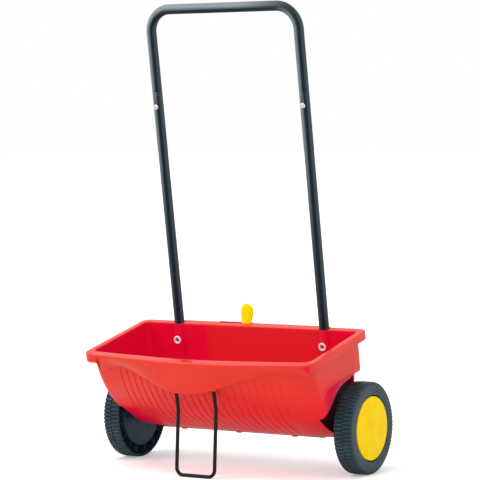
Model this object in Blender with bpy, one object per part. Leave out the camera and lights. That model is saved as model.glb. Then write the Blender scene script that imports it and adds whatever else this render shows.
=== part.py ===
"""Push-type drop spreader: a trough on two wheels with a tube handle, a wire stand and a metering slide.

Metres, +Z up. X runs along the axle, the front of the trough faces -Y and the user pushes from +Y.
Left and right are as seen from the front, with +X on the right. On its wheels and its stand the trough
leans forward, so everything fixed to it is modelled level, in hopper_frame, and that frame is pitched
about the axle.
"""
import math

import bmesh
import bpy
import numpy as np
from mathutils import Matrix, Vector

# clearances, how far cutters overrun, how deep added solids are sunk, and the length of a sharp step
GAP = 0.0003
RUNNING_GAP = 0.0004
OVERRUN = 0.010
SUNK = 0.002
STEP = 0.0002

# wheels
WHEEL_RADIUS = 0.100
WHEEL_WIDTH = 0.0414
WHEEL_TUCK = 0.001
WHEEL_SIDES = 44
TREAD_CHAMFER = 0.002
TYRE_WALL = 0.0085
TYRE_FACE = 0.004
DRAFT = 0.001
DRUM_RADIUS = 0.0735
DRUM_WALL = 0.005
WEB_INSET = 0.002
WEB_THICKNESS = 0.003
RIB_COUNT = 16
RIB_THICKNESS = 0.002
HUB_RADIUS = 0.014
HUB_NOSE_RADIUS = 0.012
HUB_SETBACK = 0.0149
CAP_RADIUS = 0.0703
CAP_WALL = 0.0018
CAP_DOME = 0.003
CAP_SEAT_DEPTH = 0.009
CAP_RING_GAP = 0.0012
CAP_SIDES = 36
CAP_RINGS = (0.7, 0.4, 0.1)

# axle and what turns or rests on it
AXLE_RADIUS = 0.005
AXLE_STUB = 0.0045
SQUARE_MARGIN = 0.017
BUSH_RADIUS = 0.0088
BUSH_FLANGE_RADIUS = 0.013
BUSH_FLANGE = 0.0015
BUSH_LENGTH = 0.0115
SPACER_THICKNESS = 0.0012
SPACER_RADIUS = 0.011
CLIP_THICKNESS = 0.002
CLIP_RADIUS = 0.009
PIN_RADIUS = 0.002
PIN_LENGTH = 0.026
STAR_COUNT = 6
STAR_SPAN = 0.360
STAR_HUB_RADIUS = 0.0115
STAR_TIP_RADIUS = 0.0175
STAR_THICKNESS = 0.012
STAR_ROOT_TURN = math.radians(8)

# trough, level in its own frame with the axle at the origin
PITCH = math.radians(12.25)
WALL = 0.0026
HALF_LENGTH = 0.2745
RIM_HEIGHT = 0.1973
FRONT_DEPTH = 0.165
BACK_DEPTH = 0.063
FLOOR_HALF_WIDTH = 0.014
FLOOR_Z = -0.0235
FRONT_CURVE = ((0.384, 0.111), (1.046, 0.583))
BACK_CURVE = ((0.122, 0.098), (1.02, 0.197))
BOW = 0.029
BOW_PEAK = 0.66
BOW_SOFTNESS = 0.08
FRONT_CORNER = 0.022
BACK_CORNER = 0.015
CORNER_SHARE = 0.3
LOW_LEVELS = (-0.018, -0.010, 0.0, 0.013, 0.030)
HIGH_LEVELS = (0.063, 0.084, 0.108, 0.135, 0.166)
DISCHARGE_INSET = 0.0695
LEDGE_Z = 0.048
END_TAPER = 0.012

# wheel arch in each end wall, coaxial with the axle
ARCH_MOUTH = 0.035
ARCH_THROAT = 0.005
ARCH_BACK_THROAT = 0.027
ARCH_BACK_FROM = math.radians(20)
ARCH_BACK_TO = math.radians(60)
ARCH_RECESS = -0.016
ARCH_SIDES = 48
ARCH_DEPTH = 0.023
RECESS_DEPTH = 0.0085

# rim, skirt and apron
RIM_PLATE = 0.0025
RIM_END = 0.013
RIM_FRONT = 0.022
RIM_BACK = 0.0165
RIM_BOW = 0.0245
RIM_FRONT_CORNER = 0.031
RIM_BACK_CORNER = 0.020
RIM_BACK_STEP = 0.007
RIM_LIP_STEP = 0.011
RIM_STEP_PAST = 0.0075
RIM_STEP_RUN = 0.003
HEM_SHARE = 0.40
SKIRT_DEPTH = 0.018
SKIRT_WALL = 0.0024
APRON_SIDE_Z = 0.169
APRON_LOW_Z = 0.115
APRON_LOW_X = -0.030
APRON_SIDE_STEP = 0.002
APRON_LOW_STEP = 0.0205
NOTCH_CENTRE = (-0.007, -0.196)
NOTCH_SIZE = (0.033, 0.009, 0.0012)

# metering slots in the floor and the slide under it
SLOT_COUNT = 8
SLOT_PITCH = 0.0535
SLOT_LENGTH = 0.020
SLOT_WIDTH = 0.008
SLIDE_TRAVEL = 0.0285
SLIDE_THICKNESS = 0.0012
SLIDE_HALF_WIDTH = 0.0125
SLIDE_END_MARGIN = 0.010
HOOK_PITCH = 0.1305
HOOK_CENTRE = -0.0145
HOOK_LENGTH = 0.012
HOOK_WALL = 0.0013
HOOK_FOOT = 0.0034

# dosing lever
LEVER_X = -0.048
LEVER_Z = 0.079
LEVER_Y = 0.0830
LEVER_THICKNESS = 0.0044
LEVER_SWING = math.radians(26.0)
LEVER_HUB = 0.013
LEVER_END = 0.007
LEVER_FLARE = 0.030
LEVER_ARM_HALF = 0.008
LEVER_NECK_HALF = 0.0105
LEVER_PADDLE_HALF = 0.0150
LEVER_TOP = 0.1675
PEG_RADIUS = 0.003
PEG_LENGTH = 0.0036
EAR_HALF = 0.013
EAR_THICKNESS = 0.002
EAR_TOP = 0.006
EAR_GAP = 0.0013
LEVER_SLOT_X = (-0.0888, -0.0068)
LEVER_SLOT_Y = (0.0785, 0.0870)
PIVOT_BOSS_RADIUS = 0.010
BOSS_ROOT = 0.035
PIVOT_SCREW_RADIUS = 0.003
PIVOT_SCREW_REACH = 0.012
PIVOT_HEAD_RADIUS = 0.006
PIVOT_HEAD = 0.003
PIVOT_WASHER = 0.0012
PIVOT_WASHER_RADIUS = 0.009

# handle tubes, in a frame whose Z runs up the tubes from the rim
HANDLE_X = 0.1862
HANDLE_Y = 0.0664
HANDLE_LEAN = math.radians(3.23)
TUBE_RADIUS = 0.010
TUBE_WALL = 0.0013
TUBE_SIDES = 16
TUBE_FOOT = -0.1275
JOINT_HEIGHT = 0.5254
SPIGOT_LENGTH = 0.060
SPIGOT_RADIUS = 0.0084
SPIGOT_WALL = 0.0012
CROSSBAR_HEIGHT = 0.7067
BEND_RADIUS = 0.051
SOCKET_WALL = 0.0026
CUP_WALL = 0.0032
CUP_HEIGHT = 0.030
CUP_BASE = 0.007
SOCKET_SIDES = 24

# fasteners of the handle
HOPPER_BOLT_DROP = 0.037
HOPPER_BOLT_RADIUS = 0.003
HOPPER_HEAD_RADIUS = 0.0055
HOPPER_HEAD = 0.0037
PAD_RADIUS = 0.0092
PAD_HEIGHT = 0.002
WASHER_RADIUS = 0.008
WASHER_THICKNESS = 0.0015
BACK_WASHER_RADIUS = 0.006
BACK_WASHER_THICKNESS = 0.0012
HOPPER_NUT = (0.0050, 0.005)
JOINT_BOLT_DROP = 0.033
JOINT_BOLT_RADIUS = 0.0025
JOINT_HEAD_RADIUS = 0.00625
JOINT_HEAD = 0.0035
JOINT_DOME = ((1.0, 0.25), (0.9, 0.52), (0.6, 0.82), (0.0, 1.0))
JOINT_NUT = (0.0040, 0.004)
BOLT_TAIL = 0.002
CHAMFER = 0.0011

# wire stand
WIRE_RADIUS = 0.004
WIRE_SIDES = 12
STAND_HALF_WIDTH = 0.0475
STAND_TOP = (-0.1893, 0.148)
STAND_KINK = (-0.1900, 0.086)
STAND_FOOT_Y = -0.213
STAND_BEND = 0.0155
STAND_KINK_BEND = 0.012
STAND_RELIEF_SHARE = 0.25
SOCKET_BOSS_HALF = 0.0085
SOCKET_BOSS_Z = (0.133, 0.154)
SOCKET_BOSS_Y = (-0.1950, -0.1700)

# places worked out from the sizes above
WHEEL_INNER = HALF_LENGTH - WHEEL_TUCK
WHEEL_OUTER = WHEEL_INNER + WHEEL_WIDTH
ARCH_X = HALF_LENGTH - ARCH_DEPTH
RECESS_X = ARCH_X - RECESS_DEPTH
HUB_FRONT = WHEEL_OUTER - HUB_SETBACK
AXLE_END = HUB_FRONT + AXLE_STUB
SQUARE_END = RECESS_X - SQUARE_MARGIN
BUSH_X = RECESS_X + GAP
SPACER_X = BUSH_X + BUSH_FLANGE + GAP
HUB_INNER = SPACER_X + SPACER_THICKNESS + GAP
PIN_X = (HUB_INNER + WHEEL_INNER) / 2
DISCHARGE_HALF = HALF_LENGTH - DISCHARGE_INSET
SLIDE_Z = FLOOR_Z - GAP
SLIDE_BOTTOM = SLIDE_Z - SLIDE_THICKNESS
PEG_ARM = SLIDE_TRAVEL / 2 / math.sin(LEVER_SWING / 2)
EAR_Y = LEVER_Y - LEVER_THICKNESS / 2 - EAR_GAP
FRONT_STATIONS = (1.0, 0.83, 0.64, 0.44, 0.22)


def srgb(code):
    """A hex colour as linear values with an alpha of 1."""
    parts = [int(code[i:i + 2], 16) / 255 for i in (1, 3, 5)]
    return [c / 12.92 if c < 0.04045 else ((c + 0.055) / 1.055) ** 2.4 for c in parts] + [1.0]


def finish(name, code, roughness, metallic=0.0):
    material = bpy.data.materials.new(name)
    material.use_nodes = True
    shader = material.node_tree.nodes["Principled BSDF"]
    shader.inputs["Base Color"].default_value = srgb(code)
    shader.inputs["Roughness"].default_value = roughness
    shader.inputs["Metallic"].default_value = metallic
    return material


def frame(name, parent=None, location=(0, 0, 0), rotation=(0, 0, 0)):
    """An empty that carries the pieces fixed to it."""
    empty = bpy.data.objects.new(name, None)
    empty.location, empty.rotation_euler, empty.parent = location, rotation, parent
    bpy.context.scene.collection.objects.link(empty)
    return empty


def loft(rings, closed=False):
    """A mesh through rings of equal length: capped at both ends, or joined end to start when closed."""
    rings = [np.asarray(ring, float) for ring in rings]
    count, size = len(rings), len(rings[0])
    faces = []
    for i in range(count if closed else count - 1):
        a, b = i * size, (i + 1) % count * size
        faces += [(a + j, a + (j + 1) % size, b + (j + 1) % size, b + j) for j in range(size)]
    if not closed:
        faces += [tuple(range(size)), tuple(range((count - 1) * size, count * size))]
    mesh = bpy.data.meshes.new("solid")
    mesh.from_pydata(np.concatenate(rings).tolist(), [], faces)
    return outward(mesh)


def outward(mesh):
    shell = bmesh.new()
    shell.from_mesh(mesh)
    bmesh.ops.remove_doubles(shell, verts=shell.verts, dist=1e-6)
    bmesh.ops.recalc_face_normals(shell, faces=shell.faces)
    shell.to_mesh(mesh)
    shell.free()
    return mesh


def gathered(meshes):
    """One mesh that holds several separate closed bodies, for a cutter or for a union."""
    shell = bmesh.new()
    for mesh in meshes:
        shell.from_mesh(mesh)
    joined = bpy.data.meshes.new("bodies")
    shell.to_mesh(joined)
    shell.free()
    return joined


def circle(radius, sides, phase=0.5):
    angle = 2 * math.pi * (np.arange(sides) + phase) / sides
    return np.stack([radius * np.sin(angle), -radius * np.cos(angle)], axis=1)


def across(points, x):
    """A plane outline placed square to X."""
    points = np.asarray(points, float)
    return np.column_stack([np.full(len(points), x), points])


def turned(profile, sides=16, closed=False):
    """A solid of revolution about X from (x, radius) pairs; closed profiles leave a bore."""
    return loft([across(circle(radius, sides), x) for x, radius in profile], closed)


def box(low, high):
    corners = [(low[0], low[1]), (high[0], low[1]), (high[0], high[1]), (low[0], high[1])]
    return loft([[(x, y, z) for x, y in corners] for z in (low[2], high[2])])


def rod(start, end, radius, sides=16):
    """A plain cylinder between two points."""
    start, end = Vector(start), Vector(end)
    axis = (end - start).normalized()
    side = axis.orthogonal().normalized()
    other = axis.cross(side)
    ring = [side * c + other * s for c, s in circle(radius, sides)]
    return loft([[p + centre for p in ring] for centre in (start, end)])


def swept(path, radii, sides, normal):
    """Rings of a round section carried along points in one plane; normal is that plane's normal."""
    path = [Vector(p) for p in path]
    normal = Vector(normal).normalized()
    rings = []
    for i, (point, radius) in enumerate(zip(path, radii)):
        before, after = path[max(i - 1, 0)], path[min(i + 1, len(path) - 1)]
        along = (after - before).normalized()
        side = along.cross(normal).normalized()
        rings.append([point + side * c + normal * s for c, s in circle(radius, sides)])
    return rings


def fillet(before, corner, after, radius, steps):
    """Points of an arc that rounds a corner of a path."""
    before, corner, after = Vector(before), Vector(corner), Vector(after)
    into, out = (before - corner).normalized(), (after - corner).normalized()
    half = into.angle(out) / 2
    centre = corner + (into + out).normalized() * radius / math.sin(half)
    start = corner + into * radius / math.tan(half) - centre
    end = corner + out * radius / math.tan(half) - centre
    points = []
    for step in range(steps + 1):
        mixed = start.slerp(end, step / steps)
        points.append(centre + mixed.normalized() * radius)
    return points


def piece(name, mesh, material, parent, location=(0, 0, 0), rotation=(0, 0, 0)):
    mesh.materials.clear()
    mesh.materials.append(material)
    mesh.shade_smooth()
    mesh.set_sharp_from_angle(angle=math.radians(35))
    thing = bpy.data.objects.new(name, mesh)
    thing.location, thing.rotation_euler, thing.parent = location, rotation, parent
    bpy.context.scene.collection.objects.link(thing)
    return thing


def tool(name, mesh, parent, location=(0, 0, 0), rotation=(0, 0, 0)):
    """A hidden shape that cuts or adds to a piece."""
    thing = bpy.data.objects.new(name, mesh)
    thing.location, thing.rotation_euler, thing.parent = location, rotation, parent
    thing.hide_render = True
    thing.display_type = "WIRE"
    bpy.context.scene.collection.objects.link(thing)
    return thing


def combine(target, other, operation):
    modifier = target.modifiers.new(other.name, "BOOLEAN")
    modifier.operation = operation
    modifier.object = other
    modifier.solver = "EXACT"


def bezier(start, end, curve, samples=200):
    """A cubic from start to end whose handles are given as shares of the way along each axis."""
    t = np.linspace(0, 1, samples)[:, None]
    start, end = np.array(start), np.array(end)
    first, second = [start + np.array(handle) * (end - start) for handle in curve]
    return (1 - t) ** 3 * start + 3 * (1 - t) ** 2 * t * first + 3 * (1 - t) * t ** 2 * second + t ** 3 * end


def offset_curve(points, distance):
    """The curve moved sideways, to the left of its direction for a positive distance."""
    along = np.gradient(points, axis=0)
    along /= np.linalg.norm(along, axis=1)[:, None]
    return points + distance * np.column_stack([-along[:, 1], along[:, 0]])


FRONT_LINE = bezier((-FLOOR_HALF_WIDTH, FLOOR_Z), (-FRONT_DEPTH, RIM_HEIGHT), FRONT_CURVE)
BACK_LINE = bezier((FLOOR_HALF_WIDTH, FLOOR_Z), (BACK_DEPTH, RIM_HEIGHT), BACK_CURVE)


def wall_lines(inset):
    """Front and back profiles of the trough, as (y, z) curves, moved inwards by inset."""
    return offset_curve(FRONT_LINE, -inset), offset_curve(BACK_LINE, inset)


def y_at(line, z):
    return float(np.interp(z, line[:, 1], line[:, 0]))


def bow_at(z):
    """How far the middle of the front wall stands in front of its ends at one height."""
    share = max(z - FLOOR_Z, 0) / (RIM_HEIGHT - FLOOR_Z)
    return BOW * math.sin(math.pi / 2 * min(share, 1) / BOW_PEAK)


def bow_shape(x, reach):
    """1 in the middle, 0 at reach: a hyperbola, soft in the middle and straight towards the ends."""
    def rise(d):
        return math.hypot(d, BOW_SOFTNESS) - BOW_SOFTNESS
    return 1 - rise(x) / rise(reach)


def back_stations(reach):
    """Where the back edge has points: at both ends and on each side of its four steps."""
    step, lip = HANDLE_X + RIM_STEP_PAST, RIM_STEP_RUN
    left, right = LEVER_SLOT_X
    inner = [step - lip, right + 2 * lip, right + lip, left - lip, left - 2 * lip, -step + lip]
    return [reach, step] + inner + [-step, -reach]


def plan(end_x, front_y, back_y, bow, front_r, back_r, taper=0.0, extra=None):
    """One closed outline of the trough seen from above, front edge first, from -X to +X and back."""
    reach = end_x - front_r
    right = [reach] + [DISCHARGE_HALF * share for share in FRONT_STATIONS]
    front = [-x for x in right] + [0.0] + right[::-1]
    points = []
    for x in front:
        drawn_in = taper * max(abs(x) - DISCHARGE_HALF, 0) / (reach - DISCHARGE_HALF)
        points.append((x, front_y - bow * bow_shape(x, reach) + drawn_in))
    corner_y = front_y + taper + front_r
    for step in (1, 2, 3, 4):
        angle = math.pi / 2 * step / 4
        points.append((reach + front_r * math.sin(angle), corner_y - front_r * math.cos(angle)))
    back_reach = end_x - back_r
    for step in (0, 1, 2):
        angle = math.pi / 2 * step / 3
        points.append((back_reach + back_r * math.cos(angle), back_y - back_r + back_r * math.sin(angle)))
    for x in back_stations(back_reach):
        points.append((x, back_y + (extra(x) if extra else 0.0)))
    mirrored = [(-x, y) for x, y in points[len(front):len(front) + 7]]
    return np.array(points + mirrored[::-1])


def trough_solid(inset, floor, top):
    """The trough as a filled body, grown inwards by inset."""
    front, back = wall_lines(inset)
    levels = [floor]
    levels += [z for z in LOW_LEVELS if z > floor]
    levels += [LEDGE_Z - STEP, LEDGE_Z + STEP, *HIGH_LEVELS, min(top, RIM_HEIGHT)]
    if top > RIM_HEIGHT:
        levels.append(top)
    rings = []
    for z in levels:
        front_y, back_y = y_at(front, z), y_at(back, z)
        depth = back_y - front_y
        taper = min(END_TAPER, CORNER_SHARE * depth) if z < LEDGE_Z else 0.0
        front_r = min(FRONT_CORNER - inset, CORNER_SHARE * depth)
        back_r = min(BACK_CORNER - inset, CORNER_SHARE * depth)
        ring = plan(HALF_LENGTH - inset, front_y, back_y, bow_at(z), front_r, back_r, taper)
        rings.append(np.column_stack([ring, np.full(len(ring), z)]))
    return loft(rings)


def rim_extra(x):
    """The rim is wider between the handle tubes, and again behind the lever's slot."""
    left, right = LEVER_SLOT_X
    if left - 1.5 * RIM_STEP_RUN < x < right + 1.5 * RIM_STEP_RUN:
        return RIM_LIP_STEP
    return RIM_BACK_STEP if abs(x) < HANDLE_X + RIM_STEP_PAST - RIM_STEP_RUN / 2 else 0.0


def inset_loop(points, distance):
    """A plan outline moved inwards along its own normals."""
    ahead, behind = np.roll(points, -1, axis=0), np.roll(points, 1, axis=0)
    along = ahead - behind
    along /= np.linalg.norm(along, axis=1)[:, None]
    return points + distance * np.column_stack([-along[:, 1], along[:, 0]])


def apron_edge(x):
    """Height of the apron's wavy lower edge and how far it stands in front of the wall there."""
    end = -DISCHARGE_HALF if x < APRON_LOW_X else DISCHARGE_HALF
    share = min((x - APRON_LOW_X) / (end - APRON_LOW_X), 1.0)
    dip = math.cos(math.pi / 2 * share) ** 2
    z = APRON_SIDE_Z - (APRON_SIDE_Z - APRON_LOW_Z) * dip
    return z, APRON_SIDE_STEP + (APRON_LOW_STEP - APRON_SIDE_STEP) * dip


def front_wall_y(x, z):
    front, _ = wall_lines(0.0)
    return y_at(front, z) - bow_at(z) * bow_shape(x, HALF_LENGTH - FRONT_CORNER)


def rim_solid():
    """The flat rim with its skirt, which at the front hangs down as an apron."""
    end_x = HALF_LENGTH + RIM_END
    front_y, back_y = -FRONT_DEPTH - RIM_FRONT, BACK_DEPTH + RIM_BACK
    outer = plan(end_x, front_y, back_y, RIM_BOW, RIM_FRONT_CORNER, RIM_BACK_CORNER, extra=rim_extra)
    inner = inset_loop(outer, SKIRT_WALL)
    hem_out, hem_in, middle_out, middle_in = [], [], [], []
    blend_end = end_x - RIM_FRONT_CORNER
    for (x, y), (x_in, y_in) in zip(outer, inner):
        z_hem, y_hem = RIM_HEIGHT - SKIRT_DEPTH, y
        if y < front_y + STEP and abs(x) < blend_end - STEP:
            z_hem, step = apron_edge(x)
            y_hem = front_wall_y(x, z_hem) - step
        z_mid = (RIM_HEIGHT + z_hem) / 2
        y_mid = y + HEM_SHARE * (y_hem - y)
        hem_out.append((x, y_hem, z_hem))
        hem_in.append((x_in, y_hem + y_in - y, z_hem))
        middle_out.append((x, y_mid, z_mid))
        middle_in.append((x_in, y_mid + y_in - y, z_mid))
    top = np.column_stack([outer, np.full(len(outer), RIM_HEIGHT)])
    underside = np.column_stack([inner, np.full(len(inner), RIM_HEIGHT - RIM_PLATE)])
    return loft([top, middle_out, hem_out, hem_in, middle_in, underside])


def arch_solid(side, grow=0.0):
    """The wheel arch: a slanted mouth, a flat ring and a deeper round recess, coaxial with the axle."""
    ring = circle(1.0, ARCH_SIDES)
    mouth = (WHEEL_RADIUS + ARCH_MOUTH + grow) * ring
    recess = (WHEEL_RADIUS + ARCH_RECESS + grow) * ring
    throat = (WHEEL_RADIUS + arch_throats(ring) + grow)[:, None] * ring
    profile = [(RECESS_X - grow, recess), (ARCH_X - grow, recess), (ARCH_X - grow + STEP, throat),
               (HALF_LENGTH, mouth), (WHEEL_OUTER, mouth)]
    return loft([across(outline, side * x) for x, outline in profile])


def arch_throats(ring):
    """How far the arch's inner edge clears the wheel: close in front, wider from the top to the back."""
    lean = np.arctan2(ring[:, 0], ring[:, 1])
    share = np.clip((lean + ARCH_BACK_FROM) / ARCH_BACK_TO, 0, 1)
    share = np.where(np.abs(lean) > math.radians(135), 0, share)
    return ARCH_THROAT + (ARCH_BACK_THROAT - ARCH_THROAT) * share ** 2 * (3 - 2 * share)


def slot_centres():
    return [(i - (SLOT_COUNT - 1) / 2) * SLOT_PITCH for i in range(SLOT_COUNT)]


def stadium(length, width, steps=4):
    """An outline with round ends along its first axis."""
    points = []
    for end in (1, -1):
        for i in range(steps + 1):
            angle = math.pi * (i / steps - 0.5)
            points.append((end * (length / 2 - width / 2 + width / 2 * math.cos(angle)),
                           end * width / 2 * math.sin(angle)))
    return np.array(points)


def upright(outline, centre, low, high):
    """A plan outline made a prism along Z."""
    moved = outline + np.array(centre)
    return loft([np.column_stack([moved, np.full(len(moved), z)]) for z in (low, high)])


def facing(outline, centre, y_low, y_high):
    """An (x, z) outline made a prism along Y."""
    moved = np.asarray(outline) + np.array(centre)
    return loft([np.column_stack([moved[:, 0], np.full(len(moved), y), moved[:, 1]])
                 for y in (y_low, y_high)])


def hooks():
    """Angle hooks under the floor, in pairs, that carry the slide."""
    solids = []
    leg = SLIDE_HALF_WIDTH + RUNNING_GAP
    under = SLIDE_BOTTOM - RUNNING_GAP
    for i in (-1, 0, 1):
        x = HOOK_CENTRE + i * HOOK_PITCH
        for side in (1, -1):
            low_x, high_x = x - HOOK_LENGTH / 2, x + HOOK_LENGTH / 2
            outline = [(leg, FLOOR_Z + WALL / 2), (leg, under), (leg - HOOK_FOOT, under),
                       (leg - HOOK_FOOT, under - HOOK_WALL), (leg + HOOK_WALL, under - HOOK_WALL),
                       (leg + HOOK_WALL, FLOOR_Z + WALL / 2)]
            solids.append(loft([across([(side * y, z) for y, z in outline], value)
                                for value in (low_x, high_x)]))
    return gathered(solids)


def make_hopper(hopper_frame, handle_frame, red):
    """The trough, moulded in one with its rim, apron, sockets, pivot boss and slide hooks."""
    hopper = piece("hopper", trough_solid(0.0, FLOOR_Z, RIM_HEIGHT - RIM_PLATE / 2), red, hopper_frame)
    inside = tool("trough_inside", trough_solid(WALL, FLOOR_Z + WALL, RIM_HEIGHT + OVERRUN), hopper_frame)

    grown = tool("arches_grown", gathered([arch_solid(side, WALL) for side in (-1, 1)]), hopper_frame)
    combine(inside, grown, "DIFFERENCE")
    tubes = (-HANDLE_X, HANDLE_X)
    bulge = TUBE_RADIUS + GAP + SOCKET_WALL
    foot = TUBE_FOOT - CUP_BASE
    bulges = [rod((x, 0, foot - SOCKET_WALL), (x, 0, 2 * OVERRUN), bulge, SOCKET_SIDES) for x in tubes]
    pad_face = -(bulge + PAD_HEIGHT)
    pads = [rod((x, pad_face, -HOPPER_BOLT_DROP), (x, 0, -HOPPER_BOLT_DROP), PAD_RADIUS, SOCKET_SIDES)
            for x in tubes]
    combine(inside, tool("socket_bulges", gathered(bulges), handle_frame), "DIFFERENCE")
    combine(inside, tool("washer_pads", gathered(pads), handle_frame), "DIFFERENCE")

    combine(hopper, tool("rim", rim_solid(), hopper_frame), "UNION")
    cup_top = TUBE_FOOT + CUP_HEIGHT
    cups = [rod((x, 0, foot), (x, 0, cup_top), TUBE_RADIUS + GAP + CUP_WALL, SOCKET_SIDES) for x in tubes]
    combine(hopper, tool("tube_cups", gathered(cups), handle_frame), "UNION")
    boss_end = LEVER_Y - LEVER_THICKNESS / 2 - 2 * GAP - PIVOT_WASHER
    added = [rod((LEVER_X, BACK_DEPTH - BOSS_ROOT, LEVER_Z), (LEVER_X, boss_end, LEVER_Z),
                 PIVOT_BOSS_RADIUS, SOCKET_SIDES)]
    for side in (-1, 1):
        x = side * STAND_HALF_WIDTH
        added.append(box((x - SOCKET_BOSS_HALF, SOCKET_BOSS_Y[0], SOCKET_BOSS_Z[0]),
                         (x + SOCKET_BOSS_HALF, SOCKET_BOSS_Y[1], SOCKET_BOSS_Z[1])))
    combine(hopper, tool("bosses", gathered(added), hopper_frame), "UNION")
    combine(hopper, tool("slide_hooks", hooks(), hopper_frame), "UNION")
    combine(hopper, inside, "DIFFERENCE")

    arches = gathered([arch_solid(side) for side in (-1, 1)])
    combine(hopper, tool("wheel_arches", arches, hopper_frame), "DIFFERENCE")
    bores = [rod((x, 0, TUBE_FOOT - GAP), (x, 0, 2 * OVERRUN), TUBE_RADIUS + GAP, SOCKET_SIDES)
             for x in tubes]
    combine(hopper, tool("tube_bores", gathered(bores), handle_frame), "DIFFERENCE")
    drills = [rod((x, pad_face - OVERRUN, -HOPPER_BOLT_DROP), (x, 0, -HOPPER_BOLT_DROP),
                  HOPPER_BOLT_RADIUS + GAP, 12) for x in tubes]
    combine(hopper, tool("bolt_holes", gathered(drills), handle_frame), "DIFFERENCE")

    slot = stadium(SLOT_LENGTH, SLOT_WIDTH)
    cuts = [upright(slot, (x, 0), FLOOR_Z - OVERRUN, FLOOR_Z + OVERRUN) for x in slot_centres()]
    cuts.append(box((LEVER_SLOT_X[0], LEVER_SLOT_Y[0], RIM_HEIGHT - OVERRUN),
                    (LEVER_SLOT_X[1], LEVER_SLOT_Y[1], RIM_HEIGHT + OVERRUN)))
    (notch_x, notch_y), (length, width, depth) = NOTCH_CENTRE, NOTCH_SIZE
    cuts.append(box((notch_x - length / 2, notch_y - width / 2, RIM_HEIGHT - depth),
                    (notch_x + length / 2, notch_y + width / 2, RIM_HEIGHT + OVERRUN)))
    cuts.append(rod((LEVER_X, boss_end - PIVOT_SCREW_REACH - SUNK, LEVER_Z),
                    (LEVER_X, boss_end + OVERRUN, LEVER_Z), PIVOT_SCREW_RADIUS + GAP))
    cuts += [rod((side * (RECESS_X - OVERRUN), 0, 0), (side * (RECESS_X + OVERRUN), 0, 0), BUSH_RADIUS + GAP)
             for side in (-1, 1)]
    low, high = stand_leg_line()
    for side in (-1, 1):
        cuts.append(rod((side * STAND_HALF_WIDTH, *low), (side * STAND_HALF_WIDTH, *high), WIRE_RADIUS + GAP))
    combine(hopper, tool("openings", gathered(cuts), hopper_frame), "DIFFERENCE")
    return hopper


def stand_leg_line():
    """Two points on a leg's upper stretch: below the apron's hem, which clears it, and past its end."""
    (top_y, top_z), (kink_y, kink_z) = STAND_TOP, STAND_KINK
    lean = (top_y - kink_y) / (top_z - kink_z)
    low_z, high_z = kink_z + STAND_RELIEF_SHARE * (top_z - kink_z), top_z + GAP
    return (kink_y + lean * (low_z - kink_z), low_z), (kink_y + lean * (high_z - kink_z), high_z)


def make_stand(hopper_frame, steel):
    """One bent wire: two legs that plug in behind the apron, and the foot bar between them."""
    foot_y, foot_z = STAND_FOOT_Y, WIRE_RADIUS - WHEEL_RADIUS
    foot = (foot_y * math.cos(PITCH) + foot_z * math.sin(PITCH),
            -foot_y * math.sin(PITCH) + foot_z * math.cos(PITCH))
    w = STAND_HALF_WIDTH
    half = [Vector((-w, *STAND_TOP))]
    half += fillet((-w, *STAND_TOP), (-w, *STAND_KINK), (-w, *foot), STAND_KINK_BEND, 3)
    half += fillet((-w, *STAND_KINK), (-w, *foot), (w, *foot), STAND_BEND, 6)
    path = half + [Vector((-p.x, p.y, p.z)) for p in reversed(half)]
    rings = []
    for i, point in enumerate(path):
        before, after = path[max(i - 1, 0)], path[min(i + 1, len(path) - 1)]
        along = (after - before).normalized()
        level = Vector((0, math.cos(PITCH), -math.sin(PITCH)))
        normal = (level - along * level.dot(along)).normalized()
        side = along.cross(normal)
        rings.append([point + side * c + normal * s for c, s in circle(wire_outer(), WIRE_SIDES)])
    piece("stand_wire", loft(rings), steel, hopper_frame)


def wire_outer():
    """The twelve flats of the wire lie at its radius, so that it rests on one of them."""
    return WIRE_RADIUS / math.cos(math.pi / WIRE_SIDES)


def make_slide(hopper_frame, dark):
    """The metering slide with its slots and the ear that the lever's peg moves."""
    low_x = slot_centres()[0] - SLIDE_TRAVEL - SLOT_LENGTH / 2 - SLIDE_END_MARGIN
    high_x = slot_centres()[-1] + SLOT_LENGTH / 2 + SLIDE_END_MARGIN / 2
    slide = piece("metering_slide", box((low_x, -SLIDE_HALF_WIDTH, SLIDE_BOTTOM),
                                        (high_x, SLIDE_HALF_WIDTH, SLIDE_Z)), dark, hopper_frame)
    peg_x, peg_z = peg_place(LEVER_SWING / 2)
    lowest = LEVER_Z - PEG_ARM - PEG_RADIUS
    added = [box((peg_x - EAR_HALF, SLIDE_HALF_WIDTH - SUNK, SLIDE_BOTTOM),
                 (peg_x + EAR_HALF, EAR_Y, SLIDE_Z)),
             box((peg_x - EAR_HALF, EAR_Y - EAR_THICKNESS, SLIDE_BOTTOM),
                 (peg_x + EAR_HALF, EAR_Y, peg_z + PEG_RADIUS + EAR_TOP))]
    for i, solid in enumerate(added):
        combine(slide, tool("slide_part_%d" % i, solid, hopper_frame), "UNION")
    slot = stadium(SLOT_LENGTH, SLOT_WIDTH)
    cuts = [upright(slot, (x - SLIDE_TRAVEL, 0), SLIDE_BOTTOM - OVERRUN, SLIDE_Z + OVERRUN)
            for x in slot_centres()]
    half = PEG_RADIUS + RUNNING_GAP
    cuts.append(box((peg_x - half, EAR_Y - OVERRUN, lowest - 2 * RUNNING_GAP),
                    (peg_x + half, EAR_Y + OVERRUN, peg_z + half)))
    combine(slide, tool("slide_slots", gathered(cuts), hopper_frame), "DIFFERENCE")


def peg_place(lean):
    return LEVER_X - PEG_ARM * math.sin(lean), LEVER_Z - PEG_ARM * math.cos(lean)


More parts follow.
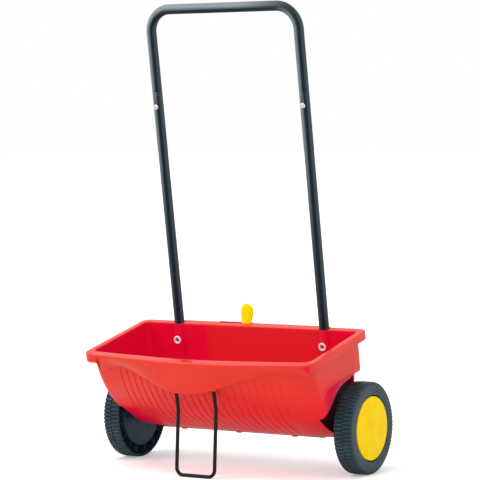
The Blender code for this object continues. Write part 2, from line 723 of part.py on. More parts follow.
def lever_outline():
    """Right half of the lever in its own plane, from the peg's end up to the top of the paddle."""
    rim = (RIM_HEIGHT - LEVER_Z) / math.cos(LEVER_SWING / 2)
    right = []
    for i in range(4):
        angle = math.pi / 2 * (i + 0.5) / 4
        right.append((LEVER_END * math.sin(angle), -PEG_ARM - LEVER_END * math.cos(angle)))
    right.append((LEVER_END, -LEVER_HUB))
    for i in range(5):
        angle = math.radians(-50 + 25 * i)
        right.append((LEVER_HUB * math.cos(angle), LEVER_HUB * math.sin(angle)))
    right += [(LEVER_ARM_HALF, LEVER_HUB + SUNK), (LEVER_ARM_HALF, rim - LEVER_FLARE), (LEVER_NECK_HALF, rim),
              (LEVER_PADDLE_HALF - STEP, LEVER_TOP - LEVER_PADDLE_HALF - OVERRUN)]
    for i in range(5):
        angle = math.pi / 2 * (i + 0.4) / 5
        right.append((LEVER_PADDLE_HALF * math.cos(angle),
                      LEVER_TOP - LEVER_PADDLE_HALF + LEVER_PADDLE_HALF * math.sin(angle)))
    return np.array(right + [(-x, z) for x, z in reversed(right)])


def make_lever(hopper_frame, yellow, zinc):
    """The dosing lever on its shoulder screw, leaning to +X in its closed place."""
    tilt = (0, LEVER_SWING / 2, 0)
    pivot = (LEVER_X, 0, LEVER_Z)
    near, far = LEVER_Y - LEVER_THICKNESS / 2, LEVER_Y + LEVER_THICKNESS / 2
    blank = facing(lever_outline(), (0, 0), near, far)
    lever = piece("dosing_lever", blank, yellow, hopper_frame, pivot, tilt)
    peg = rod((0, near - PEG_LENGTH, -PEG_ARM), (0, near + SUNK, -PEG_ARM), PEG_RADIUS, 12)
    combine(lever, tool("lever_peg", peg, hopper_frame, pivot, tilt), "UNION")
    hole = rod((0, near - OVERRUN, 0), (0, far + OVERRUN, 0), PIVOT_SCREW_RADIUS + GAP)
    combine(lever, tool("lever_hole", hole, hopper_frame, pivot, tilt), "DIFFERENCE")

    turn = (0, 0, math.pi / 2)
    washer_front = near - GAP - PIVOT_WASHER
    washer_back = far + GAP
    for name, y in (("lever_front_washer", washer_front), ("lever_back_washer", washer_back)):
        ring = ring_profile(y, y + PIVOT_WASHER, PIVOT_WASHER_RADIUS, PIVOT_SCREW_RADIUS + GAP)
        piece(name, turned(ring, 16, True), zinc, hopper_frame, (LEVER_X, 0, LEVER_Z), turn)
    head = washer_back + PIVOT_WASHER + GAP
    tip = washer_front - GAP - PIVOT_SCREW_REACH
    profile = [(tip, PIVOT_SCREW_RADIUS - CHAMFER), (tip + CHAMFER, PIVOT_SCREW_RADIUS),
               (head, PIVOT_SCREW_RADIUS), (head, PIVOT_HEAD_RADIUS),
               (head + PIVOT_HEAD - CHAMFER, PIVOT_HEAD_RADIUS),
               (head + PIVOT_HEAD, PIVOT_HEAD_RADIUS - CHAMFER)]
    piece("lever_pivot_screw", turned(profile, 16), zinc, hopper_frame, (LEVER_X, 0, LEVER_Z), turn)


def ring_profile(low, high, outer, bore):
    return [(low, bore), (low, outer), (high, outer), (high, bore)]


def hexagon_nut(width_half, low, high, bore):
    """A nut whose flats lie width_half from its axis; its bore has two sides to each flat."""
    corner = width_half / math.cos(math.pi / 6)
    corners = circle(corner, 6, 0.0)
    flats = np.array([(corners[i] + corners[(i + 1) % 6]) / 2 for i in range(6)])
    outline = np.stack([corners, flats], axis=1).reshape(-1, 2)
    hole = circle(bore, 12, 0.0)
    return loft([across(hole, low), across(outline, low), across(outline, high), across(hole, high)], True)


def make_handle(handle_frame, black, zinc, pale):
    """Two lower tubes, the bow plugged into them, and the bolts that hold all three."""
    inner = TUBE_RADIUS - TUBE_WALL
    for side, name in ((-1, "left"), (1, "right")):
        x = side * HANDLE_X
        rings = [[Vector((x + c, s, z)) for c, s in circle(radius, TUBE_SIDES)]
                 for z, radius in ((TUBE_FOOT, TUBE_RADIUS), (JOINT_HEIGHT, TUBE_RADIUS),
                                   (JOINT_HEIGHT, inner), (TUBE_FOOT, inner))]
        tube = piece("lower_tube_" + name, loft(rings, True), black, handle_frame)
        drills = [tube_drill(x, -HOPPER_BOLT_DROP, HOPPER_BOLT_RADIUS),
                  tube_drill(x, JOINT_HEIGHT - JOINT_BOLT_DROP, JOINT_BOLT_RADIUS)]
        combine(tube, tool("tube_drills_" + name, gathered(drills), handle_frame), "DIFFERENCE")
        make_bolts(handle_frame, x, name, zinc, pale)
    make_bow(handle_frame, black)


def tube_drill(x, z, radius):
    """A cutter for a bolt hole straight through a tube, front to back."""
    reach = TUBE_RADIUS + OVERRUN
    return rod((x, -reach, z), (x, reach, z), radius + GAP, 12)


def make_bow(handle_frame, black):
    """The upper half of the handle: one bent tube with two narrowed ends."""
    x, top = HANDLE_X, CROSSBAR_HEIGHT
    shoulder = JOINT_HEIGHT + GAP
    corner = fillet((-x, 0, 0), (-x, 0, top), (0, 0, top), BEND_RADIUS, 5)
    left = [Vector((-x, 0, JOINT_HEIGHT - SPIGOT_LENGTH)), Vector((-x, 0, shoulder)),
            Vector((-x, 0, shoulder + STEP)), Vector((-x, 0, shoulder + BEND_RADIUS))] + corner
    path = left + [Vector((-p.x, p.y, p.z)) for p in reversed(left)]
    outside = [SPIGOT_RADIUS, SPIGOT_RADIUS] + [TUBE_RADIUS] * (len(left) - 2)
    inside = [SPIGOT_RADIUS - SPIGOT_WALL] * 3 + [TUBE_RADIUS - TUBE_WALL] * (len(left) - 3)
    skins = [swept(path, radii + radii[::-1], TUBE_SIDES, (0, 1, 0)) for radii in (outside, inside)]
    bow = piece("handle_bow", loft(skins[0] + skins[1][::-1], True), black, handle_frame)
    drills = [tube_drill(side * x, JOINT_HEIGHT - JOINT_BOLT_DROP, JOINT_BOLT_RADIUS) for side in (-1, 1)]
    combine(bow, tool("bow_drills", gathered(drills), handle_frame), "DIFFERENCE")


def make_bolts(handle_frame, x, name, zinc, pale):
    """The hopper bolt low down and the joint bolt high up, both along Y through one tube."""
    turn = (0, 0, math.pi / 2)
    low = (x, 0, -HOPPER_BOLT_DROP)
    pad_face = -(TUBE_RADIUS + GAP + SOCKET_WALL + PAD_HEIGHT)
    washer = pad_face - GAP - WASHER_THICKNESS
    ring = ring_profile(washer, washer + WASHER_THICKNESS, WASHER_RADIUS, HOPPER_BOLT_RADIUS + GAP)
    piece("hopper_washer_" + name, turned(ring, 16, True), pale, handle_frame, low, turn)
    back_washer = TUBE_RADIUS + GAP
    ring = ring_profile(back_washer, back_washer + BACK_WASHER_THICKNESS, BACK_WASHER_RADIUS,
                        HOPPER_BOLT_RADIUS + GAP)
    piece("hopper_back_washer_" + name, turned(ring, 16, True), zinc, handle_frame, low, turn)
    half, thickness = HOPPER_NUT
    nut = back_washer + BACK_WASHER_THICKNESS + GAP
    piece("hopper_nut_" + name, hexagon_nut(half, nut, nut + thickness, HOPPER_BOLT_RADIUS + GAP), zinc,
          handle_frame, low, turn)
    seat = washer - GAP
    crown = seat - HOPPER_HEAD
    profile = [(crown, HOPPER_HEAD_RADIUS - CHAMFER), (crown + CHAMFER, HOPPER_HEAD_RADIUS),
               (seat, HOPPER_HEAD_RADIUS), (seat, HOPPER_BOLT_RADIUS),
               (nut + thickness + BOLT_TAIL, HOPPER_BOLT_RADIUS)]
    piece("hopper_bolt_" + name, turned(profile, 16), zinc, handle_frame, low, turn)

    high = (x, 0, JOINT_HEIGHT - JOINT_BOLT_DROP)
    half, thickness = JOINT_NUT
    nut = TUBE_RADIUS + GAP
    piece("joint_nut_" + name, hexagon_nut(half, nut, nut + thickness, JOINT_BOLT_RADIUS + GAP), zinc,
          handle_frame, high, turn)
    seat = -nut
    profile = [(seat - JOINT_HEAD * rise, JOINT_HEAD_RADIUS * reach) for rise, reach in JOINT_DOME]
    profile += [(seat, JOINT_BOLT_RADIUS), (nut + thickness + BOLT_TAIL, JOINT_BOLT_RADIUS)]
    piece("joint_bolt_" + name, turned(profile, 16), zinc, handle_frame, high, turn)


def tyre_radius(radius):
    """A circle drawn with flats: the flats, not the corners, lie at the radius."""
    return radius / math.cos(math.pi / WHEEL_SIDES)


def make_wheel(axle_frame, side, name, black, yellow, zinc, driven):
    """A moulded wheel with a ribbed hollow behind its tread, its cap and its push-on clip."""
    tread = tyre_radius(WHEEL_RADIUS)
    pocket = WHEEL_RADIUS - TYRE_WALL
    bore = AXLE_RADIUS + GAP
    drum_inside = DRUM_RADIUS - DRUM_WALL
    seat = WHEEL_OUTER - CAP_SEAT_DEPTH
    web = WHEEL_INNER + WEB_INSET
    mouth = CAP_RADIUS + CAP_RING_GAP
    hollow_end = WHEEL_OUTER - TYRE_FACE
    profile = [(HUB_INNER, bore), (HUB_INNER, HUB_RADIUS), (web, HUB_RADIUS), (web, DRUM_RADIUS),
               (hollow_end, DRUM_RADIUS + DRAFT), (hollow_end, pocket - DRAFT), (WHEEL_INNER, pocket),
               (WHEEL_INNER, tread - TREAD_CHAMFER), (WHEEL_INNER + TREAD_CHAMFER, tread),
               (WHEEL_OUTER - TREAD_CHAMFER, tread), (WHEEL_OUTER, tread - TREAD_CHAMFER),
               (WHEEL_OUTER, mouth), (seat, mouth), (seat, drum_inside), (web + WEB_THICKNESS, drum_inside),
               (web + WEB_THICKNESS, HUB_NOSE_RADIUS), (HUB_FRONT, HUB_NOSE_RADIUS), (HUB_FRONT, bore)]
    solid = turned([(side * x, r) for x, r in profile], WHEEL_SIDES, True)
    wheel = piece("wheel_" + name, solid, black, axle_frame)
    ribs = []
    ends = sorted((side * (web + WEB_INSET), side * (hollow_end + SUNK)))
    half = RIB_THICKNESS / 2
    for i in range(RIB_COUNT):
        rib = box((ends[0], DRUM_RADIUS - SUNK, -half), (ends[1], pocket + SUNK, half))
        rib.transform(Matrix.Rotation(2 * math.pi * (i + 0.5) / RIB_COUNT, 4, "X"))
        ribs.append(rib)
    combine(wheel, tool("wheel_ribs_" + name, gathered(ribs), axle_frame), "UNION")
    if driven:
        reach = HUB_RADIUS + OVERRUN
        hole = rod((side * PIN_X, 0, -reach), (side * PIN_X, 0, reach), PIN_RADIUS + GAP, 12)
        combine(wheel, tool("wheel_pin_hole", hole, axle_frame), "DIFFERENCE")

    skirt = seat + GAP
    face = WHEEL_OUTER - GAP
    inner = CAP_RADIUS - CAP_WALL
    cap = [(skirt, inner), (skirt, CAP_RADIUS), (face, CAP_RADIUS), (face + CHAMFER, CAP_RADIUS - CHAMFER)]
    for share in CAP_RINGS:
        cap.append((face + CHAMFER + (CAP_DOME - CHAMFER) * (1 - share ** 2), CAP_RADIUS * share))
    under = [(x - CAP_WALL, r) for x, r in reversed(cap[3:])]
    cap += [(x, min(r, inner)) for x, r in under]
    capped = [across(circle(r, CAP_SIDES), side * x) for x, r in cap]
    piece("hub_cap_" + name, loft_from(capped), yellow, axle_frame)
    clip = HUB_FRONT + GAP
    ring = [(side * x, r) for x, r in ring_profile(clip, clip + CLIP_THICKNESS, CLIP_RADIUS, bore)]
    piece("wheel_clip_" + name, turned(ring, 16, True), zinc, axle_frame)


def loft_from(rings):
    """A cup-shaped shell: the rings run from its mouth's inner edge over the outside to the crown,
    and back along the inside to the mouth again. The crown is closed on both sides."""
    size = len(rings[0])
    middle = 1 + int(np.argmin([np.abs(ring[:, 1:]).max() for ring in rings]))
    faces = []
    for i in range(len(rings)):
        if i == middle - 1:
            continue
        a, b = i * size, (i + 1) % len(rings) * size
        faces += [(a + j, a + (j + 1) % size, b + (j + 1) % size, b + j) for j in range(size)]
    faces += [tuple(range(k * size, (k + 1) * size)) for k in (middle - 1, middle)]
    mesh = bpy.data.meshes.new("cup")
    mesh.from_pydata(np.concatenate(rings).tolist(), [], faces)
    return outward(mesh)


def square_loop(half):
    """Sixteen points round a square, for a loft to a round or star outline of as many points."""
    points = []
    for i in range(16):
        angle = 2 * math.pi * i / 16 + math.pi / 4
        reach = half / max(abs(math.cos(angle)), abs(math.sin(angle)))
        points.append((reach * math.cos(angle), reach * math.sin(angle)))
    return np.array(points)


def star_loop():
    """Four blunt fingers on a round hub, in sixteen points."""
    points = []
    for i in range(16):
        angle = 2 * math.pi * i / 16 + math.pi / 4
        radius = STAR_TIP_RADIUS if i % 4 == 0 else STAR_HUB_RADIUS
        angle += {1: -STAR_ROOT_TURN, 3: STAR_ROOT_TURN}.get(i % 4, 0)
        points.append((radius * math.cos(angle), radius * math.sin(angle)))
    return np.array(points)


def make_axle(axle_frame, zinc, black, white):
    """The axle, square inside the trough, with its stars, bushes, spacers and the drive pin."""
    half = AXLE_RADIUS
    round_loop = np.array([(half * math.cos(a), half * math.sin(a))
                           for a in (2 * math.pi * i / 16 + math.pi / 4 for i in range(16))])
    square = square_loop(half)
    axle = piece("agitator_axle", loft([across(round_loop, -AXLE_END), across(round_loop, -SQUARE_END),
                                        across(square, -SQUARE_END + STEP), across(square, SQUARE_END - STEP),
                                        across(round_loop, SQUARE_END), across(round_loop, AXLE_END)]),
                 zinc, axle_frame)
    hole = rod((PIN_X, 0, -OVERRUN), (PIN_X, 0, OVERRUN), PIN_RADIUS + GAP, 12)
    combine(axle, tool("axle_pin_hole", hole, axle_frame), "DIFFERENCE")
    pin = rod((PIN_X, 0, -PIN_LENGTH / 2), (PIN_X, 0, PIN_LENGTH / 2), PIN_RADIUS, 12)
    piece("drive_pin", pin, zinc, axle_frame)
    bore, star = square_loop(half + GAP), star_loop()
    t = STAR_THICKNESS / 2
    mesh = loft([across(bore, -t), across(star, -t), across(star, t), across(bore, t)], True)
    for i in range(STAR_COUNT):
        x = STAR_SPAN * (i / (STAR_COUNT - 1) - 0.5)
        piece("agitator_star_%d" % (i + 1), mesh, black, axle_frame, (x, 0, 0))
    for side, name in ((-1, "left"), (1, "right")):
        ring = ring_profile(SPACER_X, SPACER_X + SPACER_THICKNESS, SPACER_RADIUS, AXLE_RADIUS + GAP)
        piece("axle_spacer_" + name, turned([(side * x, r) for x, r in ring], 16, True), zinc, axle_frame)
        bush = [(BUSH_X - BUSH_LENGTH, AXLE_RADIUS + GAP), (BUSH_X - BUSH_LENGTH, BUSH_RADIUS),
                (BUSH_X, BUSH_RADIUS), (BUSH_X, BUSH_FLANGE_RADIUS),
                (BUSH_X + BUSH_FLANGE, BUSH_FLANGE_RADIUS), (BUSH_X + BUSH_FLANGE, AXLE_RADIUS + GAP)]
        piece("axle_bush_" + name, turned([(side * x, r) for x, r in bush], 16, True), white, axle_frame)


def centre_on_ground(ground):
    """Moves the whole model along X and Y so that its box is centred on the origin."""
    bpy.context.view_layer.update()
    graph = bpy.context.evaluated_depsgraph_get()
    corners = []
    for thing in bpy.context.scene.objects:
        if thing.type == "MESH" and not thing.hide_render:
            solid = thing.evaluated_get(graph)
            corners += [solid.matrix_world @ vertex.co for vertex in solid.data.vertices]
    corners = np.array(corners)
    middle = (corners.min(axis=0) + corners.max(axis=0)) / 2
    ground.location = (-middle[0], -middle[1], 0)


def build():
    for thing in list(bpy.data.objects):
        bpy.data.objects.remove(thing)
    red = finish("red_polypropylene", "#E8483A", 0.42)
    black = finish("black_polypropylene", "#3A4448", 0.55)
    coated = finish("black_powder_coated_steel", "#2E3336", 0.45)
    yellow = finish("yellow_polypropylene", "#FCD200", 0.40)
    zinc = finish("zinc_plated_steel", "#B9BCBE", 0.30, 1.0)
    pale = finish("nylon_washer", "#E9E4E2", 0.45)
    white = finish("white_acetal", "#E6E4DC", 0.45)
    dark = finish("dark_polypropylene", "#33302F", 0.50)

    ground = frame("ground_frame")
    axle_frame = frame("axle_frame", ground, (0, 0, WHEEL_RADIUS))
    hopper_frame = frame("hopper_frame", axle_frame, rotation=(PITCH, 0, 0))
    handle_frame = frame("handle_frame", hopper_frame, (0, HANDLE_Y, RIM_HEIGHT), (-HANDLE_LEAN, 0, 0))

    make_hopper(hopper_frame, handle_frame, red)
    make_slide(hopper_frame, dark)
    make_lever(hopper_frame, yellow, zinc)
    make_stand(hopper_frame, coated)
    make_handle(handle_frame, coated, zinc, pale)
    make_axle(axle_frame, zinc, black, white)
    for side, name in ((-1, "left"), (1, "right")):
        make_wheel(axle_frame, side, name, black, yellow, zinc, driven=side > 0)
    centre_on_ground(ground)


build()
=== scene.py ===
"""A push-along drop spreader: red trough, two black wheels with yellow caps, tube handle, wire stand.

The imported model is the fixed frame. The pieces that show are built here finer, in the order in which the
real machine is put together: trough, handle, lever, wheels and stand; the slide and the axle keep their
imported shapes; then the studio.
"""
import math

import bmesh
import bpy
import numpy as np
from mathutils import Matrix, Vector


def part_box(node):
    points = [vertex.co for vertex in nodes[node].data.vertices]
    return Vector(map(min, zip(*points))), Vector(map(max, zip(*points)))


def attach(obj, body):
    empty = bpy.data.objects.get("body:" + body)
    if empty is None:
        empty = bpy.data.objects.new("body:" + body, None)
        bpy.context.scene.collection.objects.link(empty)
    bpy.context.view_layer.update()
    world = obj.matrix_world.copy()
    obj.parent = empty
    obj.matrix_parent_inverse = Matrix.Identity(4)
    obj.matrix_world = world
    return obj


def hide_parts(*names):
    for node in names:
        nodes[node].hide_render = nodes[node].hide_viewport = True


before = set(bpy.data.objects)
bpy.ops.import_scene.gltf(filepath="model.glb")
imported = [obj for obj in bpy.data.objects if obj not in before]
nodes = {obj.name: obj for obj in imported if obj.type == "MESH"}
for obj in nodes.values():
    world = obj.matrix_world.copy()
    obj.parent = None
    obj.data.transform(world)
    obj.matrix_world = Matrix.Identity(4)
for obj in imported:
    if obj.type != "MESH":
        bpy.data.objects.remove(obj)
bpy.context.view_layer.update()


# Trough: one moulding in red polypropylene, with a rim, an apron that hangs in front, grooves in the front
# wall, pockets for the wheels and half sleeves for the tubes. It leans forward about the axle, from which its
# level sizes are measured, in metres.
PITCH = math.radians(12.25)
WALL = 0.0026
HALF_LENGTH = 0.2745
RIM_HEIGHT = 0.1973
FRONT_DEPTH = 0.165
BACK_DEPTH = 0.063
FLOOR_HALF_WIDTH = 0.014
FLOOR_Z = -0.0235
BOW = 0.029
BOW_TOP = 0.66
FRONT_CORNER, BACK_CORNER = 0.022, 0.015
FLOOR_EDGE = 0.0015
LEDGE_Z = 0.049
DISCHARGE_HALF = 0.205
WHEEL_RADIUS = 0.100
HANDLE_X = 0.1862
HANDLE_Y = 0.0664
HANDLE_LEAN = math.radians(3.23)
TUBE_RADIUS = 0.0111
LEVER_X, LEVER_Y, LEVER_Z = -0.048, 0.083, 0.079
LEVER_SLOT = (-0.0888, -0.0068)
BOLT_DROP = 0.037
STAND_X = 0.0475
STAND_TOP = (-0.1893, 0.148)
STAND_KINK = (-0.1900, 0.086)
WIRE_RADIUS = 0.004

# What is left between pieces that touch.
GAP = 0.0003

wheel_low, wheel_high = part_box("wheel_right")
AXLE = (wheel_low + wheel_high) / 2
AXLE_PLACE = Matrix.Translation((0, AXLE.y, AXLE.z))
TROUGH_PLACE = AXLE_PLACE @ Matrix.Rotation(PITCH, 4, "X")
HANDLE_FOOT = Matrix.Translation((0, HANDLE_Y, RIM_HEIGHT))
HANDLE_PLACE = TROUGH_PLACE @ HANDLE_FOOT @ Matrix.Rotation(-HANDLE_LEAN, 4, "X")


def smooth(low, high, value):
    """0 below low, 1 above high, and 3t^2 - 2t^3 between them."""
    t = np.clip((value - low) / (high - low), 0, 1)
    return t * t * (3 - 2 * t)


def cubic(start, end, handles, samples=500):
    """Bernstein cubic from start to end; each handle lies a share of the way along each axis."""
    t = np.linspace(0, 1, samples)[:, None]
    start, end = np.array(start), np.array(end)
    a, b = [start + np.array(h) * (end - start) for h in handles]
    return (1 - t) ** 3 * start + 3 * (1 - t) ** 2 * t * a + 3 * (1 - t) * t ** 2 * b + t ** 3 * end


FRONT_LINE = cubic((-FLOOR_HALF_WIDTH, FLOOR_Z), (-FRONT_DEPTH, RIM_HEIGHT), ((.384, .111), (1.046, .583)))
BACK_LINE = cubic((FLOOR_HALF_WIDTH, FLOOR_Z), (BACK_DEPTH, RIM_HEIGHT), ((.122, .098), (1.02, .197)))


def shifted(line, distance):
    """A curve in the (y, z) plane moved along its left-hand normal."""
    along = np.gradient(line, axis=0)
    along /= np.linalg.norm(along, axis=1)[:, None]
    return line + distance * np.column_stack([-along[:, 1], along[:, 0]])


def skin(rows, ring=False):
    """A closed mesh from a grid of points, rows by columns by 3: every row is a loop, and the first and the
    last row are filled in, or joined to each other when ring is set."""
    rows = np.asarray(rows, float)
    count, size = rows.shape[:2]
    index = np.arange(count * size).reshape(count, size)
    below, above = (index, np.roll(index, -1, 0)) if ring else (index[:-1], index[1:])
    quads = np.stack([below, np.roll(below, -1, 1), np.roll(above, -1, 1), above], -1).reshape(-1, 4)
    ends = [] if ring else [index[0].tolist(), index[-1].tolist()]
    mesh = bpy.data.meshes.new("skin")
    mesh.from_pydata(rows.reshape(-1, 3), [], quads.tolist() + ends)
    return mesh


def outward(mesh):
    """Merges doubled points and turns every face of a closed mesh outwards."""
    shell = bmesh.new()
    shell.from_mesh(mesh)
    bmesh.ops.remove_doubles(shell, verts=shell.verts, dist=1e-6)
    bmesh.ops.recalc_face_normals(shell, faces=shell.faces)
    shell.to_mesh(mesh)
    shell.free()
    return mesh


def mark(mesh, name, domain, values):
    """Stores one number for every face or point of a mesh, under a name."""
    mesh.attributes.new(name, "FLOAT", domain).data.foreach_set("value", values.astype(np.float32))


def read(items, key, size=3):
    """One value of every face or point as rows: x, y and z of a vector, or a single row of numbers."""
    values = np.empty(len(items) * size, np.float32)
    items.foreach_get(key, values)
    return values.reshape(-1, size).T


def body(mesh, shade_class=0.0):
    """A linked object; its faces carry a number, also through later cuts, that picks their painted shade: 1
    marks the inside, crimson below the rim, and 2 the wheel pockets, near black deep in their wells.
    """
    thing = bpy.data.objects.new("shape", outward(mesh))
    mark(mesh, "shade_class", "FACE", np.full(len(mesh.polygons), shade_class))
    bpy.context.scene.collection.objects.link(thing)
    return thing


def worked(base, operation, *others):
    """The first shape after each of the others has been added to it or cut out of it."""
    for other in others:
        change = base.modifiers.new("change", "BOOLEAN")
        change.operation, change.object, change.solver = operation, other, "MANIFOLD"
    bpy.context.view_layer.update()
    result = bpy.data.meshes.new_from_object(base.evaluated_get(bpy.context.evaluated_depsgraph_get()))
    for thing in (base, *others):
        bpy.data.objects.remove(thing)
    thing = bpy.data.objects.new("shape", result)
    bpy.context.scene.collection.objects.link(thing)
    return thing


def disc(radius, sides):
    """Points round a circle in a plane, as two columns."""
    angle = 2 * math.pi * np.arange(sides) / sides
    return np.stack([radius * np.cos(angle), radius * np.sin(angle)], -1)


def rod(start, end, radius, sides=48):
    """A plain round bar between two points."""
    start, end = Vector(start), Vector(end)
    along = (end - start).normalized()
    side = along.orthogonal().normalized()
    ring = disc(radius, sides) @ np.array([side, along.cross(side)])
    return skin([ring + np.array(start), ring + np.array(end)])


def block(low, high):
    """A plain box, used only as a cutter or as a hidden boss."""
    ring = np.array([(low[0], low[1]), (high[0], low[1]), (high[0], high[1]), (low[0], high[1])])
    return skin([np.column_stack([ring, np.full(4, z)]) for z in (low[2], high[2])])


# Twenty-three grooves run up the front wall. There are more columns of points along them than between them.
GROOVE_PITCH = 0.018
GROOVE_HALF = 0.0014
GROOVE_DEPTH = 0.0019
groove_lines = np.arange(-11, 12) * GROOVE_PITCH
groove_steps = np.array([-1.3, -1.0, -0.7, -0.35, 0.0, 0.35, 0.7, 1.0, 1.3]) * GROOVE_HALF
at_grooves = groove_lines[:, None] + groove_steps
between_grooves = groove_lines[:-1, None] + GROOVE_PITCH * np.array([0.35, 0.65])
fine_mid = np.unique(np.concatenate([at_grooves.ravel(), between_grooves.ravel(),
                                     [-DISCHARGE_HALF, DISCHARGE_HALF]]).round(7))
plain_mid = np.linspace(-DISCHARGE_HALF, DISCHARGE_HALF, 61)


def soft(distance):
    """A hyperbola: the distance from the middle, rounded off near it so that a shape has no crease there."""
    return np.hypot(distance, 0.08) - 0.08


def bulge(x, z, reach):
    """How far the front wall stands out: a hyperbola in x that ends at the reach, times a sine in z that is
    highest at two thirds of the way up."""
    height = np.clip((z - FLOOR_Z) / (RIM_HEIGHT - FLOOR_Z), 0, 1)
    return BOW * np.sin(math.pi / 2 * height / BOW_TOP) * (1 - np.clip(soft(x) / soft(reach), 0, 1))


def wall_rows(levels, mid, inset=0.0, flare=0.0, grooved=False):
    """The trough's outline at every level, rows by columns by 3. Across the front: a bow, then a corner arc,
    a straight end, a smaller arc, the straight back, and the same mirrored. Below the ledge the front is
    drawn in towards each corner. Grooves are parabolas in section and follow sheared lines."""
    z = np.asarray(levels, float)[:, None]
    flare = np.asarray(flare, float).reshape(-1, 1) * np.ones_like(z)
    front, back = shifted(FRONT_LINE, -inset), shifted(BACK_LINE, inset)
    depth = np.interp(z, back[:, 1], back[:, 0]) - np.interp(z, front[:, 1], front[:, 0])
    front_r = np.minimum(FRONT_CORNER - inset, 0.3 * depth) + flare
    back_r = np.minimum(BACK_CORNER - inset, 0.3 * depth) + flare
    end_x = HALF_LENGTH - inset + flare
    reach, back_reach = end_x - front_r, end_x - back_r
    drift = -0.017 * (1 - smooth(FLOOR_Z, 0.170, z)) if grooved else 0 * z
    t = np.linspace(0, 1, 13)[1:]
    right = DISCHARGE_HALF + drift + t * (reach - DISCHARGE_HALF - drift)
    left = -DISCHARGE_HALF + drift - t[::-1] * (reach - DISCHARGE_HALF + drift)
    x_front = np.hstack([left, mid + drift, right])
    bend = np.linspace(0, math.pi / 2, 11)[1:]
    x_corner = reach + front_r * np.sin(bend)
    rise_corner = front_r * (1 - np.cos(bend)) + 0 * x_corner
    x_end = end_x + 0 * np.linspace(0, 1, 9)[1:-1] + 0 * z
    turn = np.linspace(0, math.pi / 2, 8)
    x_turn = back_reach + back_r * np.cos(turn)
    fall_turn = back_r * (1 - np.sin(turn)) + 0 * x_turn
    x_back = back_reach * np.linspace(1, -1, 42)[1:-1]
    x_all = np.hstack([x_front, x_corner, x_end, x_turn, x_back,
                       -x_turn[:, ::-1], -x_end, -x_corner[:, ::-1]])
    hump = np.exp(-((z - LEDGE_Z) / 0.018) ** 2)
    ledge = LEDGE_Z + 8 * (np.clip(np.abs(x_all), DISCHARGE_HALF, 1) - 0.243) ** 2
    z_all = z + hump * (ledge - LEDGE_Z)
    crease = 0.1865 + 0.35 * z_all
    share = np.clip((np.abs(x_all) - crease) / (0.238 - crease), 0, 1)
    drawn = np.minimum(0.007, 0.3 * depth) * share * (1 - smooth(-0.0006, 0.0006, z_all - ledge))
    sunk = np.clip(FLOOR_EDGE - (z - FLOOR_Z), 0, FLOOR_EDGE)
    round_off = (FLOOR_EDGE - np.sqrt(np.clip(FLOOR_EDGE ** 2 - sunk ** 2, 0, 1))) * (inset == 0)
    y_front = np.interp(z_all, front[:, 1], front[:, 0]) - flare + drawn + round_off
    y_back = np.interp(z_all, back[:, 1], back[:, 0]) + flare - round_off

    # The columns at which the corner, the end, the small arc, the back and then their mirror images start.
    a, b, c, d = np.cumsum([x_front.shape[1], x_corner.shape[1], x_end.shape[1], x_turn.shape[1]])
    e, f, g = np.cumsum([x_back.shape[1], x_turn.shape[1], x_end.shape[1]]) + d
    y_all = y_front - bulge(x_all, z_all, reach)
    y_all[:, a:b] = y_front[:, a:b] + rise_corner
    y_all[:, g:] = y_front[:, g:] + rise_corner[:, ::-1]
    low_y, high_y = y_all[:, b - 1:b], (y_back[:, c:c + 1] - back_r)
    along_end = low_y + (high_y - low_y) * np.linspace(0, 1, 9)[1:-1]
    y_all[:, b:c] = along_end
    y_all[:, f:g] = along_end[:, ::-1]
    y_all[:, c:d] = y_back[:, c:d] - fall_turn
    y_all[:, e:f] = y_back[:, e:f] - fall_turn[:, ::-1]
    y_all[:, d:e] = y_back[:, d:e]
    if grooved:
        distance = np.abs(mid[:, None] - groove_lines).min(axis=1)
        cut = GROOVE_DEPTH * np.clip(1 - (distance / GROOVE_HALF) ** 2, 0, 1)
        cut = cut * smooth(-0.018, -0.011, z)
        cut = cut * (1 - 0.45 * smooth(0.0, 0.2, mid) * smooth(0.03, 0.10, z))
        beyond = np.abs(mid) - 0.183 - 0.35 * z
        cut = cut * (1 - smooth(-0.003, 0.001, beyond) * (1 - smooth(LEDGE_Z - 0.004, LEDGE_Z + 0.004, z)))
        slope = np.gradient(front, axis=0)
        slope /= np.linalg.norm(slope, axis=1)[:, None]
        n_y = np.interp(z, front[:, 1], slope[:, 1])
        n_z = np.interp(z, front[:, 1], -slope[:, 0])
        first = x_front.shape[1] // 2 - len(mid) // 2
        y_all[:, first:first + len(mid)] += cut * n_y
        z_all[:, first:first + len(mid)] += cut * n_z
    return np.stack([x_all, y_all, z_all], -1)


RIM_LOW = RIM_HEIGHT - 0.0025
TOP_ROUND = 0.003
outer_levels = np.unique(np.concatenate([FLOOR_Z + FLOOR_EDGE * (1 - np.cos(np.linspace(0, math.pi / 2, 5))),
                                         np.linspace(-0.022, 0.036, 26), np.linspace(0.038, 0.060, 28),
                                         np.linspace(0.064, RIM_LOW + 0.001, 30)]))
round_low = RIM_HEIGHT - TOP_ROUND
inner_levels = np.unique(np.concatenate([[FLOOR_Z + WALL], np.linspace(-0.018, round_low, 46),
                                         round_low + TOP_ROUND * np.sin(np.linspace(0, math.pi / 2, 6)),
                                         [RIM_HEIGHT + 0.01]]))
over = np.clip(inner_levels - round_low, 0, TOP_ROUND)
inner_flare = 0.0014 * (1 - np.sqrt(np.clip(1 - (over / TOP_ROUND) ** 2, 0, 1)))
trough = body(skin(wall_rows(outer_levels, fine_mid, grooved=True)))
hollow = body(skin(wall_rows(inner_levels, plain_mid, WALL, inner_flare)), 1.0)

